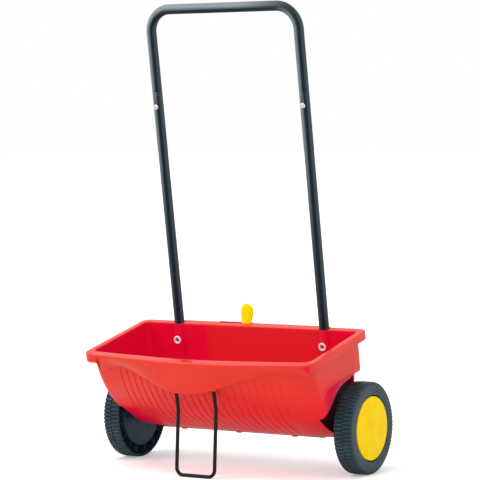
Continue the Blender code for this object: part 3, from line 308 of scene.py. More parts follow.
# The rim overhangs the walls all round. The hem's keys are its heights across the front, from left to right.
RIM_END_X = HALF_LENGTH + 0.013
RIM_FRONT_Y = -FRONT_DEPTH - 0.022
RIM_BACK_Y = BACK_DEPTH + 0.0165
RIM_CORNER = 0.031
RIM_EDGE = 0.0016
HEM_END = -0.2450
HEM_KEYS = np.array([(HEM_END, 0.1520), (-0.205, 0.169), (-0.030, 0.1235), (0.205, 0.1705), (0.262, 0.164)])


def rim_outline():
    """The rim from above, one closed loop: a hyperbolic bow in front, arcs at the corners, straight ends,
    and a back edge that steps out between the tubes and again behind the lever."""
    front_r, back_r = RIM_CORNER, 0.020
    reach, back_reach = RIM_END_X - front_r, RIM_END_X - back_r
    x_front = np.linspace(-reach, reach, 161)
    y_front = RIM_FRONT_Y - 0.0245 * (1 - soft(x_front) / soft(reach))
    bend = np.linspace(0, math.pi / 2, 15)[1:]
    x_corner = reach + front_r * np.sin(bend)
    y_corner = RIM_FRONT_Y + front_r * (1 - np.cos(bend))
    turn = np.linspace(0, math.pi / 2, 10)
    x_turn = back_reach + back_r * np.cos(turn)
    y_turn = RIM_BACK_Y - back_r * (1 - np.sin(turn))
    y_end = np.linspace(y_corner[-1], y_turn[0], 10)[1:-1]
    x_back = back_reach * np.linspace(1, -1, 242)[1:-1]
    middle, half = sum(LEVER_SLOT) / 2, (LEVER_SLOT[1] - LEVER_SLOT[0]) / 2 + 0.0045
    y_back = RIM_BACK_Y + 0.007 * (1 - smooth(-0.0015, 0.0015, np.abs(x_back) - HANDLE_X - 0.006))
    y_back += 0.004 * (1 - smooth(-0.0015, 0.0015, np.abs(x_back - middle) - half))
    x = np.concatenate([x_front, x_corner, np.full(8, RIM_END_X), x_turn, x_back, -x_turn[::-1],
                        np.full(8, -RIM_END_X), -x_corner[::-1]])
    y = np.concatenate([y_front, y_corner, y_end, y_turn, y_back, y_turn[::-1], y_end[::-1], y_corner[::-1]])
    return np.column_stack([x, y]), len(x_front), len(x_corner)


def drawn_in(loop, distance):
    """A loop in plan moved inwards along its own normals."""
    along = np.roll(loop, -1, axis=0) - np.roll(loop, 1, axis=0)
    along /= np.linalg.norm(along, axis=1)[:, None]
    return loop + distance * np.column_stack([-along[:, 1], along[:, 0]])


def rim_rows():
    """The rim with its skirt, from the flat top over a rounded edge down to the hem and up again inside. At
    the front the hem is a wave of half cosines through its keys, and the apron sweeps back to it as a power
    of the way down."""
    loop, n_front, n_corner = rim_outline()
    x, y = loop.T
    hem_z = np.full(len(x), RIM_HEIGHT - 0.018)
    hem_y = y.copy()
    keys_x, keys_z = HEM_KEYS.T
    part_of = np.clip(np.searchsorted(keys_x, x) - 1, 0, len(keys_x) - 2)
    between = np.clip((x - keys_x[part_of]) / (keys_x[part_of + 1] - keys_x[part_of]), 0, 1)
    wave = keys_z[part_of] + (keys_z[part_of + 1] - keys_z[part_of]) * (0.5 - 0.5 * np.cos(math.pi * between))
    dip = np.clip((0.170 - wave) / 0.055, 0, 1) * (np.abs(x) < DISCHARGE_HALF)
    stand_off = 0.0015 + 0.019 * dip
    front = np.interp(wave, FRONT_LINE[:, 1], FRONT_LINE[:, 0])
    wall_y = front - bulge(x, wave, HALF_LENGTH - FRONT_CORNER) - stand_off
    on_apron = np.zeros(len(x))
    on_apron[:n_front] = x[:n_front] > HEM_END - 0.0005
    on_apron[n_front:n_front + n_corner] = 1 - smooth(0.30, 0.60, np.linspace(0, 1, n_corner + 1)[1:])
    hem_z = hem_z + on_apron * (wave - hem_z)
    hem_y = hem_y + on_apron * (np.where(on_apron > 0, np.minimum(wall_y, hem_y + 0.03), hem_y) - hem_y)
    slant = -0.0105 * on_apron * (1 - smooth(HEM_END, -0.2000, x))
    inside = drawn_in(loop, 0.0024) - loop
    rows = []
    for turn in np.linspace(0, math.pi / 2, 6):
        pulled = drawn_in(loop, RIM_EDGE * (1 - math.sin(turn)))
        rows.append(np.column_stack([pulled, np.full(len(x), RIM_HEIGHT - RIM_EDGE * (1 - math.cos(turn)))]))
    top = RIM_HEIGHT - RIM_EDGE
    for s in np.linspace(0, 1, 14)[1:]:
        rows.append(np.column_stack([x + slant * s, y + (hem_y - y) * s ** 1.3, top + (hem_z - top) * s]))
    for s in (0.25, 0.75):
        rows.append(np.column_stack([x + slant + s * inside[:, 0], hem_y + s * inside[:, 1], hem_z - 0.0006]))
    for s in np.linspace(1, 0, 9):
        swept_x = x + slant * s + inside[:, 0]
        swept_y = y + (hem_y - y) * s ** 1.3 + inside[:, 1]
        rows.append(np.column_stack([swept_x, swept_y, RIM_LOW + (hem_z - RIM_LOW) * s]))
    return rows


def in_place(mesh, place):
    """The mesh, moved and turned by a matrix."""
    mesh.transform(place)
    return mesh


def from_handle(mesh):
    """From the handle's own axes to the trough's."""
    return in_place(mesh, TROUGH_PLACE.inverted() @ HANDLE_PLACE)


# A wheel pocket's radii about the axle, against degrees from straight up, where forwards is negative: the
# mouth, the lip between the slanted surface and the well, and the well, which differs from side to side.
MOUTH_KEYS = np.array([(-180, 0.135), (-135, 0.135), (-100, 0.145), (-80, 0.152), (-66, 0.1525),
                       (-56, 0.1515), (-51, 0.1545), (-47, 0.1590), (-42, 0.1565), (-37, 0.1485),
                       (-30, 0.1365), (-20, 0.1252), (-10, 0.1195), (0, 0.1177), (10, 0.1175),
                       (20, 0.1212), (30, 0.1310), (45, 0.150), (90, 0.135)])
LIP_KEYS = np.array([(-180, 0.132), (-67, 0.132), (-62, 0.126), (-56, 0.1160), (-50, 0.1095), (-42, 0.1068),
                     (0, 0.1062), (90, 0.1062), (180, 0.132)])
WELL_FRONTS = {-1: [(-180, 0.034), (-92, 0.034), (-75, 0.050), (-67, 0.078), (-62, 0.098), (-58, 0.106),
                    (-53, 0.140)],
               1: [(-180, 0.034), (-92, 0.034), (-75, 0.070), (-68, 0.104), (-64, 0.119), (-60, 0.126),
                   (-56, 0.140)]}
WELL_BACK = [(5, 0.140), (40, 0.084), (135, 0.084), (180, 0.034)]
LEDGE_INSET = {-1: 0.0190, 1: 0.0295}
LIP_INSET, WELL_INSET = 0.0085, 0.0315
ARCH_SIDES = 240


def arch_rows(side, grow=0.0):
    """A wheel pocket in rings about the axle: a deep well, a rounded lip, and then a surface that slants out
    to the mouth and turns flat over its last fifth, along a parabola. The mouth is level above, and follows
    the front wall ahead, where the lip meets it at the ledge. Below, the end is flat and the well narrows."""
    ahead, up = disc(1.0, ARCH_SIDES).T
    lean = np.degrees(np.arctan2(ahead, up))
    mouth = np.interp(lean, *MOUTH_KEYS.T, period=360)
    window = np.hanning(9)[1:-1]
    mouth = sum(w * np.roll(mouth, i - 3) for i, w in enumerate(window)) / window.sum() + grow
    back = smooth(0, 40, np.where(lean > 135, 0, lean))
    throat = np.interp(lean, *LIP_KEYS.T, period=360) + grow
    throat = np.minimum(throat + back * (mouth - 0.003 - throat), mouth - 0.003)
    well_keys = np.array(WELL_FRONTS[side] + WELL_BACK)
    well = np.minimum(np.interp(lean, *well_keys.T, period=360) + grow, throat - 0.0022)
    above = smooth(-70, -60, lean) * (1 - smooth(120, 150, lean))
    end_x = HALF_LENGTH - LEDGE_INSET[side]
    lip_x = end_x + (HALF_LENGTH - LIP_INSET - end_x) * above - 0.0145 * back - grow
    deep_x = HALF_LENGTH - WELL_INSET - grow
    stations = [(deep_x, well), (np.maximum(lip_x - 0.0016, deep_x + 0.0002), well),
                (lip_x - 0.0007, well + 0.0004), (lip_x - 0.0001, well + 0.0011),
                (lip_x + 0.0003, throat)]
    for s in np.linspace(0, 1, 15)[1:]:
        out = (s - max(0, s - 0.8) ** 2 / 0.4) / 0.9
        stations.append((lip_x + (HALF_LENGTH - grow - lip_x) * out, throat + (mouth - throat) * s))
    stations.append((HALF_LENGTH + 0.0404, mouth))
    return [np.column_stack([side * x * np.ones(ARCH_SIDES), radius * ahead, radius * up])
            for x, radius in stations]


# The hollow stops at a skin round each pocket, round each tube's sleeve and round its bolt.
SLEEVE = TUBE_RADIUS + 0.0018
TUBE_FOOT = -0.1275
BOLT_HOLE = 0.0033
for side in (-1, 1):
    x = side * HANDLE_X
    sleeve = rod((x, 0, TUBE_FOOT - 0.0096), (x, 0, 0.02), SLEEVE)
    pad = rod((x, -SLEEVE - 0.002, -BOLT_DROP), (x, 0, -BOLT_DROP), 0.0099)
    hollow = worked(hollow, "DIFFERENCE", body(skin(arch_rows(side, WALL)), 1.0),
                    body(from_handle(sleeve), 1.0), body(from_handle(pad), 1.0))
trough = worked(trough, "UNION", body(skin(rim_rows())))

# Under each tube is a boss, and behind the apron a socket for each end of the stand.
SOCKET_HALF, SOCKET_Y, SOCKET_Z = 0.0085, (-0.195, -0.170), (0.133, 0.154)
for side in (-1, 1):
    x, stand_x = side * HANDLE_X, side * STAND_X
    boss = rod((x, 0, TUBE_FOOT - 0.007), (x, 0, TUBE_FOOT + 0.030), TUBE_RADIUS + 0.0024)
    socket = block((stand_x - SOCKET_HALF, SOCKET_Y[0], SOCKET_Z[0]),
                   (stand_x + SOCKET_HALF, SOCKET_Y[1], SOCKET_Z[1]))
    trough = worked(trough, "UNION", body(from_handle(boss)), body(socket))

# The lever's boss ends behind half the lever, its washer and two gaps.
BOSS_END = LEVER_Y - 0.0022 - 0.0006 - 0.0012
boss = rod((LEVER_X, BACK_DEPTH - 0.035, LEVER_Z), (LEVER_X, BOSS_END, LEVER_Z), 0.010)
trough = worked(trough, "UNION", body(boss))

# Three pairs of hooks hold the metering slide up under the floor.
SLIDE_Z = FLOOR_Z - GAP
HOOK_WALL, HOOK_FOOT, HOOK_HALF = 0.0013, 0.0034, 0.006
HOOK_MIDDLE, HOOK_PITCH = -0.0145, 0.1420
leg, root, under = 0.0129, FLOOR_Z + WALL / 2, SLIDE_Z - 0.0016
hook = np.array([(leg, root), (leg, under), (leg - HOOK_FOOT, under), (leg - HOOK_FOOT, under - HOOK_WALL),
                 (leg + HOOK_WALL, under - HOOK_WALL), (leg + HOOK_WALL, root)])
for i in (-1, 0, 1):
    for side in (-1, 1):
        x = HOOK_MIDDLE + i * HOOK_PITCH
        ends = [np.column_stack([np.full(len(hook), x + reach), side * hook[:, 0], hook[:, 1]])
                for reach in (-HOOK_HALF, HOOK_HALF)]
        trough = worked(trough, "UNION", body(skin(ends)))
trough = worked(trough, "DIFFERENCE", hollow)

# The cuts from outside: pockets, bores for the tubes, the bolts and the axle's bushes, and the stand's holes.
(top_y, top_z), (kink_y, kink_z) = STAND_TOP, STAND_KINK
lean = (top_y - kink_y) / (top_z - kink_z)
relief_z = kink_z + 0.25 * (top_z - kink_z)
for side in (-1, 1):
    x = side * HANDLE_X
    bore = rod((x, 0, TUBE_FOOT - GAP), (x, 0, 0.02), TUBE_RADIUS + GAP)
    bolt_hole = rod((x, -SLEEVE - 0.012, -BOLT_DROP), (x, 0, -BOLT_DROP), BOLT_HOLE, 24)
    bush_hole = rod((side * 0.233, 0, 0), (side * 0.253, 0, 0), 0.0091)
    relief = rod((side * STAND_X, kink_y + lean * (relief_z - kink_z), relief_z),
                 (side * STAND_X, top_y + lean * GAP, top_z + GAP), WIRE_RADIUS + GAP)
    trough = worked(trough, "DIFFERENCE", body(skin(arch_rows(side)), 2.0), body(from_handle(bore)),
                    body(from_handle(bolt_hole)), body(bush_hole), body(relief))

# Eight openings in the floor, each a slot with round ends.
OPENINGS, OPENING_PITCH, OPENING_RADIUS, OPENING_REACH = 8, 0.0535, 0.004, 0.006
circle = disc(OPENING_RADIUS, 24)
for centre in (np.arange(OPENINGS) - (OPENINGS - 1) / 2) * OPENING_PITCH:
    rounded = np.vstack([circle[18:] + (centre + OPENING_REACH, 0), circle[:7] + (centre + OPENING_REACH, 0),
                         circle[6:19] + (centre - OPENING_REACH, 0)])
    opening = skin([np.column_stack([rounded, np.full(len(rounded), z)])
                    for z in (FLOOR_Z - 0.01, FLOOR_Z + 0.01)])
    trough = worked(trough, "DIFFERENCE", body(opening))

# The lever's slot in the back rim, a shallow recess in the top of the front rim, and the lever's screw hole.
lever_slot = block((LEVER_SLOT[0], 0.0785, RIM_HEIGHT - 0.01), (LEVER_SLOT[1], 0.087, RIM_HEIGHT + 0.01))
front_notch = block((-0.0190, -0.2005, RIM_HEIGHT - 0.0016), (0.0050, -0.1905, RIM_HEIGHT + 0.01))
screw_hole = rod((LEVER_X, BOSS_END - 0.014, LEVER_Z), (LEVER_X, BOSS_END + 0.01, LEVER_Z), BOLT_HOLE, 24)
trough = worked(trough, "DIFFERENCE", body(lever_slot), body(front_notch, 1.0), body(screw_hole))

# The notch under the rim at the front right corner, which is deeper at its foot. Its faces carry the inside's
# mark, so they take the crimson painted shade.
NOTCH_HALF = 0.0052
notch_turn = math.radians(37)
notch_way = Vector((math.sin(notch_turn), -math.cos(notch_turn), 0))
notch_at = Vector((RIM_END_X - RIM_CORNER, RIM_FRONT_Y + RIM_CORNER, 0)) + RIM_CORNER * notch_way
notch = skin([np.array([(-NOTCH_HALF, -0.006, z), (NOTCH_HALF, -0.006, z),
                        (NOTCH_HALF, reach, z), (-NOTCH_HALF, reach, z)])
              for z, reach in ((RIM_HEIGHT - 0.0215, 0.0066), (RIM_HEIGHT - 0.0035, 0.0018))])
notch = in_place(notch, Matrix.Translation(notch_at) @ Matrix.Rotation(notch_turn, 4, "Z"))
trough = worked(trough, "DIFFERENCE", body(notch, 1.0))


def placed(thing, name, material, rider, node, crease=35.0, place=None):
    """Gives a finished shape its name, finish and place, smooth except where it turns sharply. It moves with
    the body that it rides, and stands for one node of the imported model."""
    mesh = thing.data
    if place is not None:
        mesh.transform(place)
    mesh.materials.clear()
    mesh.materials.append(material)
    mesh.shade_smooth()
    mesh.set_sharp_from_angle(angle=math.radians(crease))
    thing.name = mesh.name = name
    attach(thing, rider)
    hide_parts(node)


def linear(code):
    """An sRGB hex colour as linear values."""
    parts = [int(code[i:i + 2], 16) / 255 for i in (1, 3, 5)]
    return [c / 12.92 if c < 0.04045 else ((c + 0.055) / 1.055) ** 2.4 for c in parts] + [1.0]


def finish(name, colour, roughness, **sockets):
    """A new material, with the numbers of its shader that are the same all over the surface."""
    material = bpy.data.materials.new(name)
    material.use_nodes = True
    inputs = material.node_tree.nodes["Principled BSDF"].inputs
    inputs["Base Color"].default_value = linear(colour)
    inputs["Roughness"].default_value = roughness
    for key, value in sockets.items():
        inputs[key.replace("_", " ")].default_value = value
    return material


def add(material, kind, settings, links):
    """Adds one node: settings go to its properties or sockets, or to the two ends of its ramp as pairs of
    position and colour, and links pair an input with another node's output."""
    tree = material.node_tree
    made = tree.nodes.new(kind)
    for key, value in settings.items():
        if key == "ends":
            for end, (position, code) in zip(made.color_ramp.elements, value):
                end.position, end.color = position, linear(code)
        elif isinstance(key, str) and hasattr(made, key):
            setattr(made, key, value)
        else:
            made.inputs[key].default_value = value
    for key, output in links.items():
        tree.links.new(output, made.inputs[key])
    return made


def drive(material, **outputs):
    """Links one output to each socket of the material's shader that is named."""
    inputs = material.node_tree.nodes["Principled BSDF"].inputs
    for key, output in outputs.items():
        material.node_tree.links.new(output, inputs[key.replace("_", " ")])


# Injection-moulded polypropylene: saturated red with a satin skin. Each point carries how far down the front
# wall it lies, and there a deeper, cooler red is painted shade, for the weaker reflection low on the wall. Slow
# flow marks shift the red a little, and a spark-eroded grain, drawn at 0.9 mm because the real 0.1 mm can't
# show, breaks up the gloss.
red = finish("satin_red_polypropylene", "#E23020", 0.34, IOR=1.49, Specular_IOR_Level=0.25)
at = add(red, "ShaderNodeTexCoord", {}, {}).outputs["Object"]
flow = add(red, "ShaderNodeTexNoise", {"Scale": 9.0, "Detail": 3.0, "Roughness": 0.5}, {"Vector": at})
warm = add(red, "ShaderNodeValToRGB", {"ends": [(0.3, "#E02C1E"), (0.7, "#E43522")]},
           {"Fac": flow.outputs["Fac"]})
low = add(red, "ShaderNodeAttribute", {"attribute_name": "painted_shade_lowness"}, {})
deeper = add(red, "ShaderNodeMix", {"data_type": "RGBA", 7: linear("#EC0E1A")},
             {0: low.outputs["Fac"], 6: warm.outputs["Color"]})
gloss = add(red, "ShaderNodeMapRange", {"To Min": 0.29, "To Max": 0.38}, {"Value": flow.outputs["Fac"]})
grain = add(red, "ShaderNodeTexNoise", {"Scale": 1100.0, "Detail": 2.0}, {"Vector": at})
relief = add(red, "ShaderNodeBump", {"Strength": 0.06, "Distance": 0.0002}, {"Height": grain.outputs["Fac"]})
drive(red, Base_Color=deeper.outputs[2], Roughness=gloss.outputs["Result"], Normal=relief.outputs["Normal"])

# The core side of the mould forms the inside and the wheel pockets. Its crimson skin with a broad soft shine is
# painted shade: the same red, deeper where little light reaches. In the middle of the long walls a painted
# highlight makes the red a little lighter.
crimson_shade = finish("painted_shade_crimson_polypropylene", "#EA0530", 0.45, IOR=1.49, Specular_IOR_Level=0.14)
at = add(crimson_shade, "ShaderNodeTexCoord", {}, {}).outputs["Object"]
flow = add(crimson_shade, "ShaderNodeTexNoise", {"Scale": 7.0, "Detail": 3.0}, {"Vector": at})
tint = add(crimson_shade, "ShaderNodeValToRGB", {"ends": [(0.3, "#E8033C"), (0.7, "#EC083C")]},
           {"Fac": flow.outputs["Fac"]})
across = add(crimson_shade, "ShaderNodeSeparateXYZ", {}, {"Vector": at})
# Painted highlight: within about 0.15 m of x = 0.038 the crimson is mixed towards a lighter red.
middle = add(crimson_shade, "ShaderNodeMath", {"operation": "ADD", 1: -0.038}, {0: across.outputs["X"]})
off_middle = add(crimson_shade, "ShaderNodeMath", {"operation": "ABSOLUTE"}, {0: middle.outputs["Value"]})
painted_light_share = add(crimson_shade, "ShaderNodeMapRange",
               {"interpolation_type": "SMOOTHSTEP", "From Min": 0.140, "From Max": 0.160,
                "To Min": 1.0, "To Max": 0.0},
               {"Value": off_middle.outputs["Value"]})
lighter = add(crimson_shade, "ShaderNodeMix", {"data_type": "RGBA", 7: linear("#E82430")},
              {0: painted_light_share.outputs["Result"], 6: tint.outputs["Color"]})
drive(crimson_shade, Base_Color=lighter.outputs[2])

# Painted shade: deep in the wheel pockets the same crimson is darkened to near black, in streaks.
pocket_shade = finish("painted_shade_pocket_polypropylene", "#4A0A14", 0.60, IOR=1.49, Specular_IOR_Level=0.10)
at = add(pocket_shade, "ShaderNodeTexCoord", {}, {}).outputs["Object"]
streak = add(pocket_shade, "ShaderNodeTexNoise", {"Scale": 60.0, "Detail": 4.0}, {"Vector": at})
tint = add(pocket_shade, "ShaderNodeValToRGB", {"ends": [(0.35, "#38080F"), (0.65, "#560C18")]},
           {"Fac": streak.outputs["Fac"]})
drive(pocket_shade, Base_Color=tint.outputs["Color"])

placed(trough, "trough_shell", red, "frame", "hopper", 28.0)
trough.data.materials.append(crimson_shade)
trough.data.materials.append(pocket_shade)
shade_class = read(trough.data.attributes["shade_class"].data, "value", 1)[0]
x, y, z = read(trough.data.polygons, "center")
# Painted shade: the inside below the rim and the pockets take the crimson finish.
inner_side = (shade_class > 0.5) & (z < RIM_LOW)
# Painted shade: on the left end only, the front wall below the ledge takes the crimson finish.
under_ledge = (-x > 0.1885 + 0.35 * z) & (z < LEDGE_Z + 6 * np.clip(-x - 0.243, -0.038, 1) ** 2) & (y < -0.01)
# Painted shade: faces deep in each pocket's well take the near-black finish.
in_well = (shade_class > 1.5) & (np.abs(x) > 0.2425) & (np.abs(x) < 0.2650) & (np.hypot(y, z) < 0.1295)
in_well &= (y < 0) | (np.abs(x) < 0.2436)
kind = (inner_side | under_ledge) + in_well.astype(np.int32)
# Painted shade: the hooks and all faces below the floor take the crimson finish.
kind = np.where(z < FLOOR_Z - 0.0001, 1, kind)
trough.data.polygons.foreach_set("material_index", kind.astype(np.int32))
x, y, z = read(trough.data.vertices, "co")
# Painted shade: how low each point lies, counted higher on the left, so that the deeper red reaches further up
# on the right.
mark(trough.data, "painted_shade_lowness", "POINT", 1 - smooth(0.030, 0.165, z + 0.12 * np.clip(-x, -0.1, 0.27)))
trough.data.transform(TROUGH_PLACE)


# Handle: two lower tubes of drawn steel stand in the trough's sleeves, and a bent bow plugs into their tops.
# All three are powder coated black, and each joint is held by one domed bolt with a nut behind.
JOINT_HEIGHT = 0.5254
JOINT_DROP = 0.033
CROSSBAR_HEIGHT = 0.7067
TUBE_WALL = 0.0013


def pipe(path, radii, level, sides=48):
    """A round section carried along a path: at each point a circle spanned by the part of the level direction
    that is square to the path, and the direction square to both."""
    along = np.gradient(path, axis=0)
    along /= np.linalg.norm(along, axis=1)[:, None]
    normal = level - along * (along @ level)[:, None]
    normal /= np.linalg.norm(normal, axis=1)[:, None]
    side = np.cross(along, normal)
    ring = disc(1.0, sides)
    circles = ring[None, :, :1] * side[:, None] + ring[None, :, 1:] * normal[:, None]
    return path[:, None] + radii[:, None, None] * circles


def bent(before, corner, after, radius, steps=16):
    """Points of the arc of that radius that touches both arms of a corner."""
    before, corner, after = Vector(before), Vector(corner), Vector(after)
    into, out = (before - corner).normalized(), (after - corner).normalized()
    half = into.angle(out) / 2
    centre = corner + (into + out).normalized() * radius / math.sin(half)
    start = corner + into * radius / math.tan(half) - centre
    end = corner + out * radius / math.tan(half) - centre
    return [tuple(centre + start.slerp(end, i / steps).normalized() * radius) for i in range(steps + 1)]


def paint_highlight(mesh):
    """Marks a painted highlight by the way that each point faces: most on the upper front left of the
    crossbar, in a strip down the left of each arm that fades towards the trough, and faintly on the right."""
    x, y, z = read(mesh.vertices, "co")
    normals = read(mesh.vertex_normals, "vector").T
    facing = normals @ np.array([-0.55, -0.45, 0.70], np.float32)
    across = normals @ np.array([0.857, 0.515, 0.0], np.float32)
    over = smooth(0.15, 0.75, facing) * (1 - 0.85 * smooth(0.06, 0.17, x)) * smooth(0.44, 0.57, z)
    left = smooth(0.20, 0.75, -across) * (0.18 + 0.60 * smooth(0.15, 0.50, z))
    right = 0.20 * smooth(0.08, 0.50, across)
    pale = np.maximum(over, smooth(0.12, 0.18, np.abs(x)) * np.maximum(left, right))
    mark(mesh, "painted_highlight", "POINT", pale)


# Powder coat: near-black slate paint baked on steel. It has a slight orange-peel of about 1.5 mm that makes
# the long highlights waver, and a touch of shine.
coat = finish("black_powder_coat", "#071B26", 0.38, IOR=1.5, Specular_IOR_Level=0.11)
at = add(coat, "ShaderNodeTexCoord", {}, {}).outputs["Object"]
peel = add(coat, "ShaderNodeTexNoise", {"Scale": 420.0, "Detail": 2.0}, {"Vector": at})
relief = add(coat, "ShaderNodeBump", {"Strength": 0.10, "Distance": 0.0003}, {"Height": peel.outputs["Fac"]})
wear = add(coat, "ShaderNodeTexNoise", {"Scale": 30.0, "Detail": 4.0}, {"Vector": at})
gloss = add(coat, "ShaderNodeMapRange", {"To Min": 0.32, "To Max": 0.44}, {"Value": wear.outputs["Fac"]})
# Painted highlight: a pale grey is mixed into the coat where the marked share is high.
highlight_share = add(coat, "ShaderNodeAttribute", {"attribute_name": "painted_highlight"}, {})
tint = add(coat, "ShaderNodeMix", {"data_type": "RGBA", 6: linear("#071B26"), 7: linear("#838E91")},
           {0: highlight_share.outputs["Fac"]})
drive(coat, Base_Color=tint.outputs[2], Roughness=gloss.outputs["Result"], Normal=relief.outputs["Normal"])

JOINT_HOLE = 0.0028
BOLT_SIDES = 24
joint_z = JOINT_HEIGHT - JOINT_DROP
for side, name in ((-1, "left"), (1, "right")):
    x = side * HANDLE_X
    profile = [(TUBE_FOOT, TUBE_RADIUS - 0.0004), (TUBE_FOOT + 0.0004, TUBE_RADIUS),
               *[(z, TUBE_RADIUS) for z in np.linspace(TUBE_FOOT, JOINT_HEIGHT, 18)[1:-1]],
               (JOINT_HEIGHT - 0.0008, TUBE_RADIUS), (JOINT_HEIGHT - 0.0002, TUBE_RADIUS - 0.0003),
               (JOINT_HEIGHT, TUBE_RADIUS - 0.0007), (JOINT_HEIGHT, TUBE_RADIUS - TUBE_WALL),
               (TUBE_FOOT, TUBE_RADIUS - TUBE_WALL)]
    ring = disc(1.0, 48)
    rows = [np.column_stack([x + r * ring[:, 0], r * ring[:, 1], np.full(len(ring), z)]) for z, r in profile]
    bolt_hole = rod((x, -0.02, -BOLT_DROP), (x, 0.02, -BOLT_DROP), BOLT_HOLE, BOLT_SIDES)
    joint_hole = rod((x, -0.02, joint_z), (x, 0.02, joint_z), JOINT_HOLE, BOLT_SIDES)
    tube = worked(body(skin(rows, True)), "DIFFERENCE", body(bolt_hole), body(joint_hole))
    paint_highlight(tube.data)
    placed(tube, "handle_tube_" + name, coat, "frame", "lower_tube_" + name,
           place=HANDLE_PLACE)

# The bow's ends are swaged down to slide into the tubes, up to a shoulder that stands on their tops.
shoulder = JOINT_HEIGHT + GAP
heights = (JOINT_HEIGHT - 0.060, JOINT_HEIGHT - 0.059, shoulder, shoulder + 0.0001, shoulder + 0.0007,
           shoulder + 0.02, shoulder + 0.07)
arm = [(-HANDLE_X, 0, z) for z in heights]
arm += bent((-HANDLE_X, 0, 0), (-HANDLE_X, 0, CROSSBAR_HEIGHT), (0, 0, CROSSBAR_HEIGHT), 0.051)
arm.append((-0.05, 0, CROSSBAR_HEIGHT))
path = np.array(arm + [(-x, y, z) for x, y, z in arm[::-1]])
outside = TUBE_RADIUS - np.array([0.0020, 0.0016, 0.0016, 0.0006] + [0.0] * (len(arm) - 4))
inside = TUBE_RADIUS - np.array([0.0028] * 4 + [TUBE_WALL] * (len(arm) - 4))
outer, inner = [pipe(path, np.concatenate([r, r[::-1]]), np.array([0, 1, 0])) for r in (outside, inside)]
bow = body(skin(np.concatenate([outer, inner[::-1]]), True))
for x in (-HANDLE_X, HANDLE_X):
    joint_hole = rod((x, -0.02, joint_z), (x, 0.02, joint_z), JOINT_HOLE, BOLT_SIDES)
    bow = worked(bow, "DIFFERENCE", body(joint_hole))
paint_highlight(bow.data)
placed(bow, "handle_bow_tube", coat, "frame", "handle_bow", place=HANDLE_PLACE)


# Fasteners, all turned or pressed steel but for the nylon washers. A small pan-head bolt holds each tube to
# the trough through a thick pale washer on the inside, a bright dome-headed bolt pins each tube joint, and
# each has a nut behind.
def turned(profile, centre, sides=48, ring=False):
    """A profile of (distance, radius) pairs turned about a line along Y through the centre."""
    across, up = disc(1.0, sides).T
    return skin([np.column_stack([centre[0] + r * across, np.full(sides, y), centre[2] + r * up])
                 for y, r in profile], ring)


# Zinc-plated steel: bright, slightly blue and finely brushed by tumbling, so its gleam breaks up.
zinc = finish("bright_zinc_plate", "#C9CDD0", 0.24, Metallic=1.0)
at = add(zinc, "ShaderNodeTexCoord", {}, {}).outputs["Object"]
tumble = add(zinc, "ShaderNodeTexNoise", {"Scale": 900.0, "Detail": 3.0}, {"Vector": at})
gloss = add(zinc, "ShaderNodeMapRange", {"To Min": 0.18, "To Max": 0.34}, {"Value": tumble.outputs["Fac"]})
drive(zinc, Roughness=gloss.outputs["Result"])

# Natural nylon: milky white and faintly translucent, with a soft shine.
nylon = finish("natural_nylon", "#F4EDEA", 0.35, IOR=1.53, Subsurface_Weight=0.15, Subsurface_Scale=0.002)
at = add(nylon, "ShaderNodeTexCoord", {}, {}).outputs["Object"]
cloud = add(nylon, "ShaderNodeTexNoise", {"Scale": 260.0, "Detail": 2.0}, {"Vector": at})
tint = add(nylon, "ShaderNodeValToRGB", {"ends": [(0.0, "#F0E6E2"), (1.0, "#F8F3F0")]},
           {"Fac": cloud.outputs["Fac"]})
drive(nylon, Base_Color=tint.outputs["Color"])

# Phosphated steel: the bolts into the trough are a warm grey, with a dry, slightly blotched shine.
phosphate = finish("phosphated_steel", "#9A8284", 0.40, Metallic=1.0)
at = add(phosphate, "ShaderNodeTexCoord", {}, {}).outputs["Object"]
blotch = add(phosphate, "ShaderNodeTexNoise", {"Scale": 700.0, "Detail": 3.0}, {"Vector": at})
gloss = add(phosphate, "ShaderNodeMapRange", {"To Min": 0.32, "To Max": 0.52},
            {"Value": blotch.outputs["Fac"]})
drive(phosphate, Roughness=gloss.outputs["Result"])

